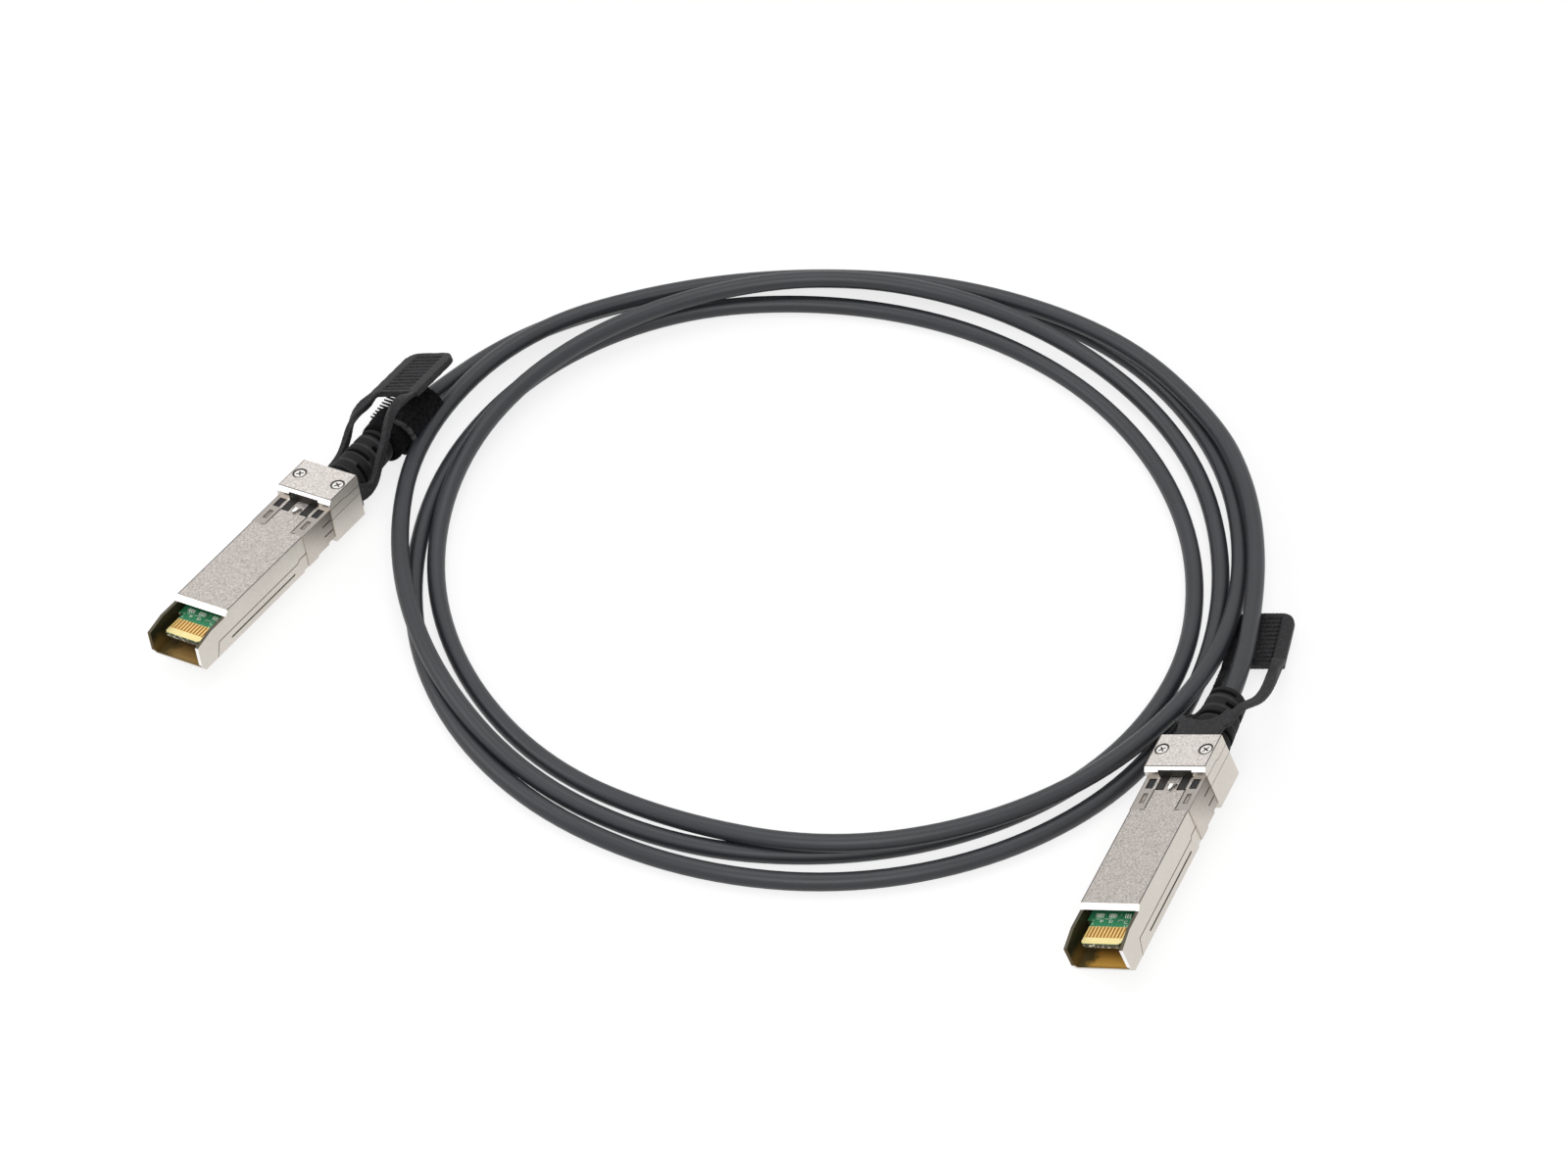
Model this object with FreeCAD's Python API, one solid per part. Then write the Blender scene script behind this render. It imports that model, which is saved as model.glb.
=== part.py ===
import FreeCAD
import Part
import math
import os

# Direct attach copper cable: two small form factor plugs joined by one thin
# twin-axial cable that lies in a loose coil.  Millimetres, +Z up, z = 0 is the
# surface that the cable lies on.  Each plug is built along its own +x axis,
# nose tip at x = 0, underside at z = 0, latch side up, and is then placed.

V = FreeCAD.Vector

# ---- plug body -------------------------------------------------------------
BODY_HALF = 6.7          # half width of the body
BODY_HEIGHT = 8.5        # underside to latch side
WALL = 0.75              # side walls
FLOOR = 0.8              # floor plate
STOP_X = 47.5            # front face of the head, which stops on the cage
SEAM = 0.12              # open seam between two housing pieces

# ---- open nose -------------------------------------------------------------
NOSE_TIP_Z = 6.4         # height of the side walls at the very tip
NOSE_WALL_Z = 7.5        # height of the side walls in front of the cover
NOSE_KINK_X = 4.9        # where the walls stop rising
COVER_X = 10.0           # front edge of the top cover
BASE_FOOT_X = 5.2        # front of the lower shell, at the underside
BASE_FRONT_X = 6.6       # front of the lower shell, at the seam
BASE_TOP_Z = 3.3         # seam height along the body
SEAM_STEP_X = 34.8       # where the seam steps up
SEAM_STEP = 0.6

# ---- side groove -----------------------------------------------------------
GROOVE_X0 = 10.5
GROOVE_X1 = 33.0
GROOVE_Z = 1.6
GROOVE_WIDE = 0.4
GROOVE_DEEP = 0.3

# ---- spring collar ---------------------------------------------------------
COLLAR_X0 = 37.7
COLLAR_SHEET = 0.25
COLLAR_PROUD = 0.2       # stands out of the body sides
COLLAR_WINDOW = 3.4      # half width of the gap between its two top pads
COLLAR_STEPS = ((36.0, 0.45), (41.0, 0.9), (45.0, 1.4))   # underside rises
PAD_END_X = 44.0
POCKET_END_X = 46.9
PAD_SLOT = (39.9, 42.4, 0.6)          # from, to, width
FINGER_SLITS = (6.2, 3.6)             # heights of the slits in each side
FINGER_SLIT_X = 44.2
SLIT_WIDE = 0.3

# ---- head ------------------------------------------------------------------
HEAD_LEN = 10.3
HEAD_HALF = 7.05
HEAD_TOP = 10.7
HEAD_BASE_Z = 5.9        # joint of lower and upper shell in the head
CAP_FRONT_Z = 8.5        # underside of the screwed cap, front half
CAP_REAR_Z = 8.15        # and rear half
CAP_JOG_X = 52.4
HEAD_BEVEL = 0.9
CHANNEL_HALF = 3.85      # slide way of the latch slider
CHANNEL_TOP = 10.02
SCREW_X = 53.5
SCREW_Y = 5.1
SCREW_HEAD_R = 1.35
SCREW_HEAD_H = 0.8
SCREW_SHANK_R = 0.6
SCREW_END_Z = 6.6
SCREW_GAP = 0.1

# ---- inside ----------------------------------------------------------------
CAVITY_TOP = 7.5
CAVITY_STEP_X = 37.0
CAVITY_REAR_TOP = 6.6
CAVITY_END_X = 46.0
CARD_X0 = 2.8
CARD_X1 = 35.0
CARD_THICK = 1.0
CARD_TOP = 5.2
CARD_EDGE_HALF = 4.6
CARD_HALF = 5.7
CARD_WIDE_X = 9.2
CARD_CORNER = 0.5        # cut corners of its front edge
CONTACTS = 10
CONTACT_PITCH = 0.8
CONTACT_WIDE = 0.56
CONTACT_END_X = 7.6
CONTACT_BAND_X = 4.4
FOIL = 0.04
FOIL_EDGE = 0.06         # bare rim of the card round the foil
WIRE_R = 0.45
FERRULE_LEN = 5.0
FERRULE_GAP = 0.8        # between the ferrule and the boot's flange
FERRULE_R = 2.5

# ---- latch slider ----------------------------------------------------------
TINE_X0 = 43.9
TINE_WIDE = 1.8
TINE_GAP = 3.1           # between the two tines
TINE_TOP = 8.42
TINE_DEEP = 0.75
SLIDE_GAP = 0.12         # running clearance of the slider
TRAVEL = 2.0             # pull needed to free the plug
BAR_X0 = 46.5
BAR_X1 = 48.3
BAR_TOP = 9.9
BAR_HALF = 3.7
BOSS_X0 = 43.3
BOSS_X1 = 45.1
BOSS_HALF = 1.25
BOSS_HIGH = 0.45

# ---- strain relief boot ----------------------------------------------------
AXIS_Z = 4.25            # height of the cable axis in the plug
BOOT_LEN = 15.1
BOOT_ROOT_R = 4.65
BOOT_END_R = 4.1
BOOT_NECK_R = 3.0
BOOT_FLANGE_R = 3.6
BOOT_FLANGE_IN = 3.2     # front of the flange, inside the head
BOOT_NECK_IN = 2.0       # rear of the flange, inside the head
BOOT_SLOTS = 5
BOOT_SLOT_X = 2.3        # first slot behind the head
BOOT_SLOT_PITCH = 2.6
BOOT_SLOT_WIDE = 0.8
BOOT_SLOT_DEEP = 1.3
BOOT_SLOT_ARC = 112.0
BOOT_FIT = 0.05
BOOT_ROOM = 0.3

# ---- pull tab --------------------------------------------------------------
GRIP_LEN = 15.8
GRIP_WIDE = 13.4
GRIP_RIM = 2.8
GRIP_END = 0.7
GRIP_HIGH = 1.5
GRIP_FLOOR = 0.8
GRIP_RIB_PITCH = 1.3
GRIP_RIB_WIDE = 0.6
GRIP_RIB_X = 0.9
YOKE_HALF = 6.3
YOKE_GAP = 0.15          # between the head's rear face and the yoke
YOKE_THICK = 1.1
YOKE_PROUD = 0.3
YOKE_FOOT = 1.2
YOKE_LOW_TOP = 9.3       # upper edge where the yoke stays below the head's top
PLATE_LEN = 8.2
PLATE_THICK = 1.0
PLATE_LEFT = (4.0, 5.0, 6.0)     # reach across at its front, middle and rear
PLATE_RIGHT = (5.4, 6.2, 7.2)
SCOOP_R = 4.9
SCOOP_DEEP = 3.3

# ---- cable -----------------------------------------------------------------
CABLE_D = 3.9
COIL_CENTRE = (22.05, 29.98)
COIL_HIGH = 9.0
COIL_STEP = 22.5
# outer and inner radius of the lying coil every COIL_STEP degrees from +X
COIL_OUTER = (85.6, 95.3, 95.6, 94.0, 92.6, 95.4, 96.8, 96.4,
              93.6, 92.5, 91.0, 92.2, 91.4, 89.6, 87.4, 85.3)
COIL_INNER = (76.2, 76.0, 77.0, 78.4, 80.2, 81.0, 83.0, 83.0,
              82.3, 80.7, 79.7, 78.8, 78.8, 78.6, 78.4, 77.6)

# ---- placing of the two plugs ----------------------------------------------
# x, y, z of the nose, then turn about Z, rise of the cable end, roll
PLUG_A = (-114.34, -1.65, 4.46, 58.66, -2.42, -9.08)
PLUG_B = (75.62, -83.52, 2.84, 65.35, 0.28, -24.76)
# free stretches of the cable: angle, radius about the coil centre, height
TAIL_A = ((150.5, 101.6, 4.4), (136.5, 99.6, 3.0), (123.0, 96.4, 2.2), (109.0, 92.8, 2.0))
TAIL_B = ((345.5, 91.8, 6.5), (359.0, 91.9, 6.3), (12.0, 93.4, 6.1), (25.0, 94.6, 6.0))
LEAD = 6.0               # straight cable in line with each boot

# ---- strap -----------------------------------------------------------------
STRAP_AT = (-71.45, 70.99)
STRAP_TURN = 64.0
STRAP_WIDE = 11.0
STRAP_THICK = 9.0
STRAP_HIGH = 10.9
STRAP_INNER = 3.2        # inner layer reaches this far out of the outer one, towards the plug
STRAP_STEP = 1.1         # and lies this much lower


def box(x0, x1, y0, y1, z0, z1):
    return Part.makeBox(x1 - x0, y1 - y0, z1 - z0, V(x0, y0, z0))


def profile(points, half):
    """Side outline (x, z) carried across the plug, from -half to +half."""
    wire = Part.makePolygon([V(x, -half, z) for x, z in points + points[:1]])
    return Part.Face(wire).extrude(V(0, 2 * half, 0))


def both(shape):
    """The shape and its mirror image across the plug's middle."""
    return [shape, shape.mirror(V(0, 0, 0), V(0, 1, 0))]


def rod(x0, x1, radius, y=0.0, z=AXIS_Z):
    return Part.makeCylinder(radius, x1 - x0, V(x0, y, z), V(1, 0, 0))


def placement(pose):
    x, y, z, yaw, rise, roll = pose
    return FreeCAD.Placement(V(x, y, z), FreeCAD.Rotation(yaw, -rise, roll))


def head_end():
    return STOP_X + HEAD_LEN


def boot_end():
    return head_end() + BOOT_LEN


def yoke_x():
    return head_end() + YOKE_GAP


def ferrule_end():
    return head_end() - BOOT_FLANGE_IN - FERRULE_GAP


def slot_inner():
    return TINE_GAP / 2.0


def underside(lift):
    """Stepped underside below the collar, as (x, z) points from nose to stop."""
    points = []
    level = 0.0
    for x, z in COLLAR_STEPS:
        points.append((x, level + lift))
        points.append((x + 0.3, z + lift))
        level = z
    points.append((STOP_X, level + lift))
    return points


def collar_zone(half):
    """Everything outside the collar's inner surface, from its front edge back."""
    z_in = BODY_HEIGHT - COLLAR_SHEET
    outer = box(COLLAR_X0, STOP_X, -half, half, -1.0, BODY_HEIGHT + 1.0)
    inside = BODY_HALF + COLLAR_PROUD - COLLAR_SHEET
    lower = [p for p in underside(COLLAR_SHEET) if p[0] >= COLLAR_X0]
    lower = [(COLLAR_X0, COLLAR_STEPS[0][1] + COLLAR_SHEET)] + lower
    core = profile(lower + [(STOP_X, z_in), (COLLAR_X0, z_in)], inside)
    middle = box(COLLAR_X0, STOP_X, -COLLAR_WINDOW, COLLAR_WINDOW, z_in - 1.0, BODY_HEIGHT)
    return outer.cut(core.fuse(middle))


def cavity():
    half = BODY_HALF - WALL
    front = box(-1.0, CAVITY_STEP_X, -half, half, FLOOR, CAVITY_TOP)
    rear = box(CAVITY_STEP_X - 1.0, CAVITY_END_X, -half, half, 2.4, CAVITY_REAR_TOP)
    way = box(CAVITY_END_X - 1.0, ferrule_end() + 0.3, -2.7, 2.7, 1.6, 6.9)
    return front.fuse(rear).fuse(way)


def boot_seat():
    rear = head_end()
    neck = rod(rear - BOOT_NECK_IN - 0.2, rear + 1.0, BOOT_NECK_R + BOOT_FIT)
    flange = rod(rear - BOOT_FLANGE_IN - BOOT_FIT, rear - BOOT_NECK_IN + BOOT_FIT,
                 BOOT_FLANGE_R + BOOT_FIT)
    return neck.fuse(flange)


def slider_slots():
    """Slots for the two tines, long enough for the whole travel."""
    y0 = slot_inner() - SLIDE_GAP
    y1 = slot_inner() + TINE_WIDE + SLIDE_GAP
    depth = TINE_TOP - TINE_DEEP - SLIDE_GAP
    one = box(TINE_X0 - 0.3, BAR_X1 + TRAVEL + 0.3, y0, y1, depth, BODY_HEIGHT + 0.5)
    pair = both(one)
    return pair[0].fuse(pair[1])


def shell_top():
    base_z = BASE_TOP_Z + SEAM
    side = [(0.0, 0.0), (0.0, NOSE_TIP_Z), (NOSE_KINK_X, NOSE_WALL_Z),
            (COVER_X, NOSE_WALL_Z), (COVER_X + BODY_HEIGHT - NOSE_WALL_Z, BODY_HEIGHT),
            (STOP_X, BODY_HEIGHT), (STOP_X, base_z + SEAM_STEP),
            (SEAM_STEP_X + SEAM_STEP, base_z + SEAM_STEP), (SEAM_STEP_X, base_z),
            (BASE_FRONT_X - SEAM, base_z), (BASE_FOOT_X - SEAM, 0.0)]
    body = profile(side, BODY_HALF)
    rear = head_end()
    head = [(STOP_X, HEAD_BASE_Z + SEAM), (STOP_X, CAP_FRONT_Z - SEAM),
            (CAP_JOG_X, CAP_FRONT_Z - SEAM), (CAP_JOG_X + 0.7, CAP_REAR_Z - SEAM),
            (rear, CAP_REAR_Z - SEAM), (rear, HEAD_BASE_Z + SEAM)]
    shape = body.cut(collar_zone(HEAD_HALF)).fuse(profile(head, HEAD_HALF))
    shape = shape.cut(cavity()).cut(boot_seat()).cut(slider_slots())
    for pocket in both(box(PAD_END_X, POCKET_END_X, COLLAR_WINDOW + 0.2,
                           BODY_HALF - WALL, CAVITY_REAR_TOP - 0.5, BODY_HEIGHT)):
        shape = shape.cut(pocket)
    for bore in both(Part.makeCylinder(SCREW_SHANK_R + 0.03, 3.0, V(SCREW_X, SCREW_Y, SCREW_END_Z))):
        shape = shape.cut(bore)
    tip = Part.makePolygon([V(BOSS_X0, 0, BODY_HEIGHT), V(BOSS_X1, BOSS_HALF, BODY_HEIGHT),
                            V(BOSS_X1, -BOSS_HALF, BODY_HEIGHT), V(BOSS_X0, 0, BODY_HEIGHT)])
    boss = Part.Face(tip).extrude(V(0, 0, BOSS_HIGH))
    return shape.fuse(boss).removeSplitter()


def shell_base():
    side = [(BASE_FOOT_X, 0.0), (BASE_FRONT_X, BASE_TOP_Z), (SEAM_STEP_X, BASE_TOP_Z),
            (SEAM_STEP_X + SEAM_STEP, BASE_TOP_Z + SEAM_STEP),
            (STOP_X, BASE_TOP_Z + SEAM_STEP)] + underside(0.0)[::-1]
    body = profile(side, BODY_HALF).cut(collar_zone(HEAD_HALF))
    head = box(STOP_X, head_end(), -HEAD_HALF, HEAD_HALF, 0.0, HEAD_BASE_Z)
    shape = body.fuse(head).cut(cavity()).cut(boot_seat())
    groove = box(GROOVE_X0, GROOVE_X1, BODY_HALF - GROOVE_DEEP, BODY_HALF + 1.0,
                 GROOVE_Z - GROOVE_WIDE / 2.0, GROOVE_Z + GROOVE_WIDE / 2.0)
    for cut in both(groove):
        shape = shape.cut(cut)
    return shape.removeSplitter()


def head_cap():
    rear = head_end()
    side = [(STOP_X, CAP_FRONT_Z), (CAP_JOG_X, CAP_FRONT_Z), (CAP_JOG_X + 0.7, CAP_REAR_Z),
            (rear, CAP_REAR_Z), (rear, HEAD_TOP), (STOP_X + HEAD_BEVEL, HEAD_TOP),
            (STOP_X, HEAD_TOP - HEAD_BEVEL)]
    shape = profile(side, HEAD_HALF)
    shape = shape.cut(box(STOP_X - 1.0, rear + 1.0, -CHANNEL_HALF, CHANNEL_HALF, 0.0, CHANNEL_TOP))
    sink = Part.makeCylinder(SCREW_HEAD_R + SCREW_GAP, SCREW_HEAD_H + 1.0,
                             V(SCREW_X, SCREW_Y, HEAD_TOP - SCREW_HEAD_H - SCREW_GAP))
    hole = Part.makeCylinder(SCREW_SHANK_R + 0.05, HEAD_TOP, V(SCREW_X, SCREW_Y, 0.0))
    for cut in both(sink.fuse(hole)):
        shape = shape.cut(cut)
    return shape


def head_screws():
    under = HEAD_TOP - SCREW_HEAD_H - SCREW_GAP
    screw = Part.makeCylinder(SCREW_HEAD_R, SCREW_HEAD_H, V(SCREW_X, SCREW_Y, under))
    shank = Part.makeCylinder(SCREW_SHANK_R, under - SCREW_END_Z, V(SCREW_X, SCREW_Y, SCREW_END_Z))
    screw = screw.fuse(shank)
    top = under + SCREW_HEAD_H
    arm = SCREW_HEAD_R * 0.62
    for turn in (35.0, 125.0):
        bar = box(-arm, arm, -0.17, 0.17, top - 0.4, top + 0.1)
        bar.rotate(V(0, 0, 0), V(0, 0, 1), turn)
        bar.translate(V(SCREW_X, SCREW_Y, 0))
        screw = screw.cut(bar)
    return Part.makeCompound(both(screw))


def emi_collar():
    half = BODY_HALF + COLLAR_PROUD
    lower = [p for p in underside(0.0) if p[0] >= COLLAR_X0]
    lower = [(COLLAR_X0, COLLAR_STEPS[0][1])] + lower
    skin = profile(lower + [(STOP_X, BODY_HEIGHT), (COLLAR_X0, BODY_HEIGHT)], half)
    sheet = skin.common(collar_zone(HEAD_HALF))
    gap = COLLAR_WINDOW + SEAM
    sheet = sheet.cut(box(0, 60, -gap, gap, CARD_TOP, 10))
    slot_x0, slot_x1, slot_w = PAD_SLOT
    mid = (COLLAR_WINDOW + BODY_HALF) / 2.0
    cuts = both(box(slot_x0, slot_x1, mid - slot_w / 2, mid + slot_w / 2, 8.0, 9.0))
    cuts += both(box(PAD_END_X, POCKET_END_X, 0.0, BODY_HALF - WALL, 7.5, 9.0))
    for z in FINGER_SLITS:
        cuts.append(box(FINGER_SLIT_X, STOP_X - 0.3, -8, 8, z - SLIT_WIDE / 2, z + SLIT_WIDE / 2))
    for cut in cuts:
        sheet = sheet.cut(cut)
    return sheet.removeSplitter()


def paddle_card():
    c = CARD_CORNER
    wide = CARD_WIDE_X
    edge = [(CARD_X0, -CARD_EDGE_HALF + c), (CARD_X0 + c, -CARD_EDGE_HALF), (wide, -CARD_EDGE_HALF),
            (wide, -CARD_HALF), (CARD_X1, -CARD_HALF), (CARD_X1, CARD_HALF), (wide, CARD_HALF),
            (wide, CARD_EDGE_HALF), (CARD_X0 + c, CARD_EDGE_HALF), (CARD_X0, CARD_EDGE_HALF - c)]
    points = [V(x, y, CARD_TOP - CARD_THICK) for x, y in edge]
    return Part.Face(Part.makePolygon(points + points[:1])).extrude(V(0, 0, CARD_THICK))


def profile_plan(x0, x1, half, thick):
    """Flat plate with the card's cut front corners, lying on z = 0."""
    c = CARD_CORNER
    edge = [(x0, -half + c), (x0 + c, -half), (x1, -half), (x1, half), (x0 + c, half), (x0, half - c)]
    points = [V(x, y, 0) for x, y in edge]
    return Part.Face(Part.makePolygon(points + points[:1])).extrude(V(0, 0, thick))


def edge_contacts():
    """Plated edge: one foil on each side with ten raised contact strips."""
    solids = []
    half = CONTACTS * CONTACT_PITCH / 2.0
    wide = CARD_EDGE_HALF - FOIL_EDGE
    for z, up in ((CARD_TOP, 1), (CARD_TOP - CARD_THICK, -1)):
        foil = profile_plan(CARD_X0 + FOIL_EDGE, CONTACT_END_X, wide, FOIL)
        foil = foil.fuse(profile_plan(CARD_X0 + FOIL_EDGE, CONTACT_BAND_X, wide, 2 * FOIL))
        for i in range(CONTACTS):
            y = -half + (i + 0.5) * CONTACT_PITCH
            strip = box(CONTACT_BAND_X - 0.1, CONTACT_END_X,
                        y - CONTACT_WIDE / 2, y + CONTACT_WIDE / 2, 0, 2 * FOIL)
            foil = foil.fuse(strip)
        if up < 0:
            foil = foil.mirror(V(0, 0, 0), V(0, 0, 1))
        foil.translate(V(0, 0, z))
        solids.append(foil.removeSplitter())
    return Part.makeCompound(solids)


def card_chips():
    z = CARD_TOP
    solids = [box(10.1, 10.9, y - 0.75, y + 0.75, z, z + 0.45) for y in (-3.4, 0.2, 3.2)]
    solids.append(box(17.0, 20.0, -2.2, 0.8, z, z + 0.8))
    solids += [box(22.5, 24.1, y, y + 0.8, z, z + 0.5) for y in (-3.6, -1.4, 1.4, 3.0)]
    return Part.makeCompound(solids)


def ferrule():
    end = ferrule_end()
    body = rod(end - FERRULE_LEN, end, FERRULE_R)
    lip = rod(end - 0.8, end, FERRULE_R + 0.15)
    return body.fuse(lip).removeSplitter()


def twinax_pairs():
    """Four bare conductors from the card's rear edge to the crimped ferrule."""
    solids = []
    for side in (-2.6, -1.4, 1.4, 2.6):
        start = V(CARD_X1 + 0.15, side, CARD_TOP - CARD_THICK / 2.0)
        end = V(ferrule_end() - FERRULE_LEN - 0.1, side * 0.6, AXIS_Z)
        step = end - start
        solids.append(Part.makeCylinder(WIRE_R, step.Length, start, step))
    return Part.makeCompound(solids)


def boot():
    x0 = head_end()
    x1 = boot_end()
    flange = x0 - BOOT_FLANGE_IN
    neck = x0 - BOOT_NECK_IN
    outline = [(flange, 0.0), (flange, BOOT_FLANGE_R), (neck, BOOT_FLANGE_R),
               (neck, BOOT_NECK_R), (x0, BOOT_NECK_R), (x0, BOOT_ROOT_R),
               (x1 - 2.2, BOOT_END_R + 0.1), (x1 - 0.8, BOOT_END_R), (x1 - 0.2, BOOT_END_R - 0.5),
               (x1, BOOT_END_R - 1.2), (x1, 0.0)]
    points = [V(x, 0, r) for x, r in outline]
    solid = Part.Face(Part.makePolygon(points + points[:1])).revolve(V(0, 0, 0), V(1, 0, 0), 360)
    for i in range(BOOT_SLOTS):
        x = head_end() + BOOT_SLOT_X + i * BOOT_SLOT_PITCH
        centre = 90.0 if i % 2 == 0 else 0.0
        for turn in (centre, centre + 180.0):
            solid = solid.cut(boot_slot(x, turn))
    solid.translate(V(0, 0, AXIS_Z))
    return solid


def boot_slot(x, turn):
    """One crescent slot, as wide as BOOT_SLOT_ARC about the direction turn."""
    inner = BOOT_END_R - BOOT_SLOT_DEEP
    points = [V(x, 0, inner), V(x + BOOT_SLOT_WIDE, 0, inner),
              V(x + BOOT_SLOT_WIDE, 0, BOOT_ROOT_R + 1), V(x, 0, BOOT_ROOT_R + 1)]
    face = Part.Face(Part.makePolygon(points + points[:1]))
    face.rotate(V(0, 0, 0), V(1, 0, 0), turn - 90.0 - BOOT_SLOT_ARC / 2.0)
    return face.revolve(V(0, 0, 0), V(1, 0, 0), BOOT_SLOT_ARC)


def boot_room():
    """Room kept free round the boot by what slides past it."""
    return rod(head_end() - TRAVEL - BOOT_ROOM, boot_end() + 1.0, BOOT_ROOT_R + BOOT_ROOM)


def latch_slider():
    y0 = slot_inner()
    y1 = slot_inner() + TINE_WIDE
    under = BODY_HEIGHT + SLIDE_GAP
    bottom = TINE_TOP - TINE_DEEP
    plate = box(BAR_X0, yoke_x(), -BAR_HALF, BAR_HALF, under, BAR_TOP)
    shape = plate.cut(boot_room())
    tine = box(TINE_X0, BAR_X1 - 0.6, y0, y1, bottom, TINE_TOP)
    tine = tine.fuse(box(BAR_X0, BAR_X1 - 0.6, y0, y1, bottom, BAR_TOP))
    for one in both(tine):
        shape = shape.fuse(one)
    front = [e for e in shape.Edges if e.Vertexes[0].X < TINE_X0 + 0.01
             and e.Vertexes[-1].X < TINE_X0 + 0.01 and abs(e.Vertexes[0].Z - e.Vertexes[-1].Z) > 0.5]
    return shape.makeFillet(0.5, front).removeSplitter()


def grip():
    """Ribbed finger grip: x from 0 backwards, centred across, underside z = 0."""
    half = GRIP_WIDE / 2.0
    slab = box(0, GRIP_LEN, -half, half, 0, GRIP_HIGH)
    ends = [e for e in slab.Edges if e.Length == GRIP_HIGH and e.Vertexes[0].X > 1.0]
    slab = slab.makeFillet(3.0, ends)
    well = half - GRIP_RIM
    hollow = box(GRIP_RIB_X, GRIP_LEN - GRIP_END, -well, well, GRIP_FLOOR, GRIP_HIGH + 1)
    slab = slab.cut(hollow)
    room = GRIP_LEN - GRIP_END - GRIP_RIB_X - 2 * GRIP_RIB_WIDE
    for i in range(int(room / GRIP_RIB_PITCH + 1e-6) + 1):
        x = GRIP_RIB_X + GRIP_RIB_WIDE + i * GRIP_RIB_PITCH
        slab = slab.fuse(box(x, x + GRIP_RIB_WIDE, -well, well, GRIP_FLOOR, GRIP_HIGH - 0.15))
    return slab.removeSplitter()


def arm(stations):
    """Bent strap through stations of centre, up direction, half height, half width."""
    wires = []
    centres = [V(head_end() + s[0][0], s[0][1], s[0][2]) for s in stations]
    for i, (_, up, tall, wide) in enumerate(stations):
        before = centres[max(i - 1, 0)]
        after = centres[min(i + 1, len(centres) - 1)]
        along = (after - before).normalize()
        up = V(*up)
        up = (up - along * up.dot(along)).normalize()
        side = along.cross(up)
        c = centres[i]
        corners = [c + up * tall + side * wide, c + up * tall - side * wide,
                   c - up * tall - side * wide, c - up * tall + side * wide]
        wires.append(Part.makePolygon(corners + corners[:1]))
    return Part.makeLoft(wires, True, False)


# grip place behind the head's rear face: x, y, z, turn, rise, roll
GRIP_A = (24.8, -0.35, 12.5, 1.65, -1.2, -15.95)
GRIP_B = (31.84, 2.25, -0.08, 10.19, 3.17, 10.15)
# arms, x also from the head's rear face: centre, up direction, half thickness, half width
ARMS_A = (
    ((0.2, -5.9, 5.2), (0, -1, 0.2), 0.6, 1.9), ((3.6, -6.2, 4.1), (0, -1, 0.2), 0.62, 1.4),
    ((6.0, -6.3, 4.7), (0, -1, 0), 0.62, 1.1), ((7.9, -6.3, 6.8), (0, -1, 0), 0.62, 1.0),
    ((11.6, -6.2, 11.0), (0, -1, 0), 0.62, 0.95), ((13.8, -6.1, 13.8), (-0.1, -1, 0.1), 0.68, 0.95),
    ((16.4, -5.9, 15.8), (-0.3, -0.8, 0.6), 0.72, 1.0), ((20.2, -5.6, 16.2), (-0.1, -0.4, 1), 0.74, 1.1)), (
    ((0.2, 5.7, 2.3), (0, 1, -0.2), 0.6, 1.5), ((4.7, 6.0, 2.6), (0, 1, 0), 0.6, 1.1),
    ((9.2, 6.2, 4.0), (0, 1, 0), 0.62, 1.0), ((12.8, 6.0, 6.6), (0, 1, 0.1), 0.65, 1.0),
    ((15.2, 5.9, 9.4), (-0.2, 0.9, 0.4), 0.68, 1.0), ((18.0, 5.8, 11.0), (-0.2, 0.4, 1), 0.72, 1.05),
    ((21.8, 5.4, 11.7), (0, 0, 1), 0.74, 1.15))
ARMS_B = (
    ((4.0, -5.4, 9.7), (0, 0, 1), 0.45, 1.2), ((7.6, -6.7, 9.6), (0.1, -0.1, 1), 0.48, 1.0),
    ((11.0, -7.3, 8.7), (0.4, -0.4, 1), 0.52, 0.95), ((15.0, -7.5, 6.4), (0.4, -0.3, 1), 0.6, 1.0),
    ((19.6, -7.4, 5.1), (0.2, -0.2, 1), 0.68, 1.15), ((24.2, -6.6, 4.3), (0.2, 0, 1), 0.7, 1.25),
    ((29.2, -4.8, 2.4), (0.3, 0.1, 1), 0.72, 1.3)), (
    ((4.8, 5.0, 9.7), (0, 0, 1), 0.45, 1.0), ((8.4, 6.4, 7.6), (0.6, 0.6, 1), 0.55, 0.95),
    ((12.4, 6.5, 4.2), (0.8, 0.4, 1), 0.62, 0.95), ((17.7, 6.2, 2.5), (0.3, 0.1, 1), 0.68, 1.05),
    ((23.7, 6.6, 2.0), (0, 0.2, 1), 0.7, 1.15))


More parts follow.
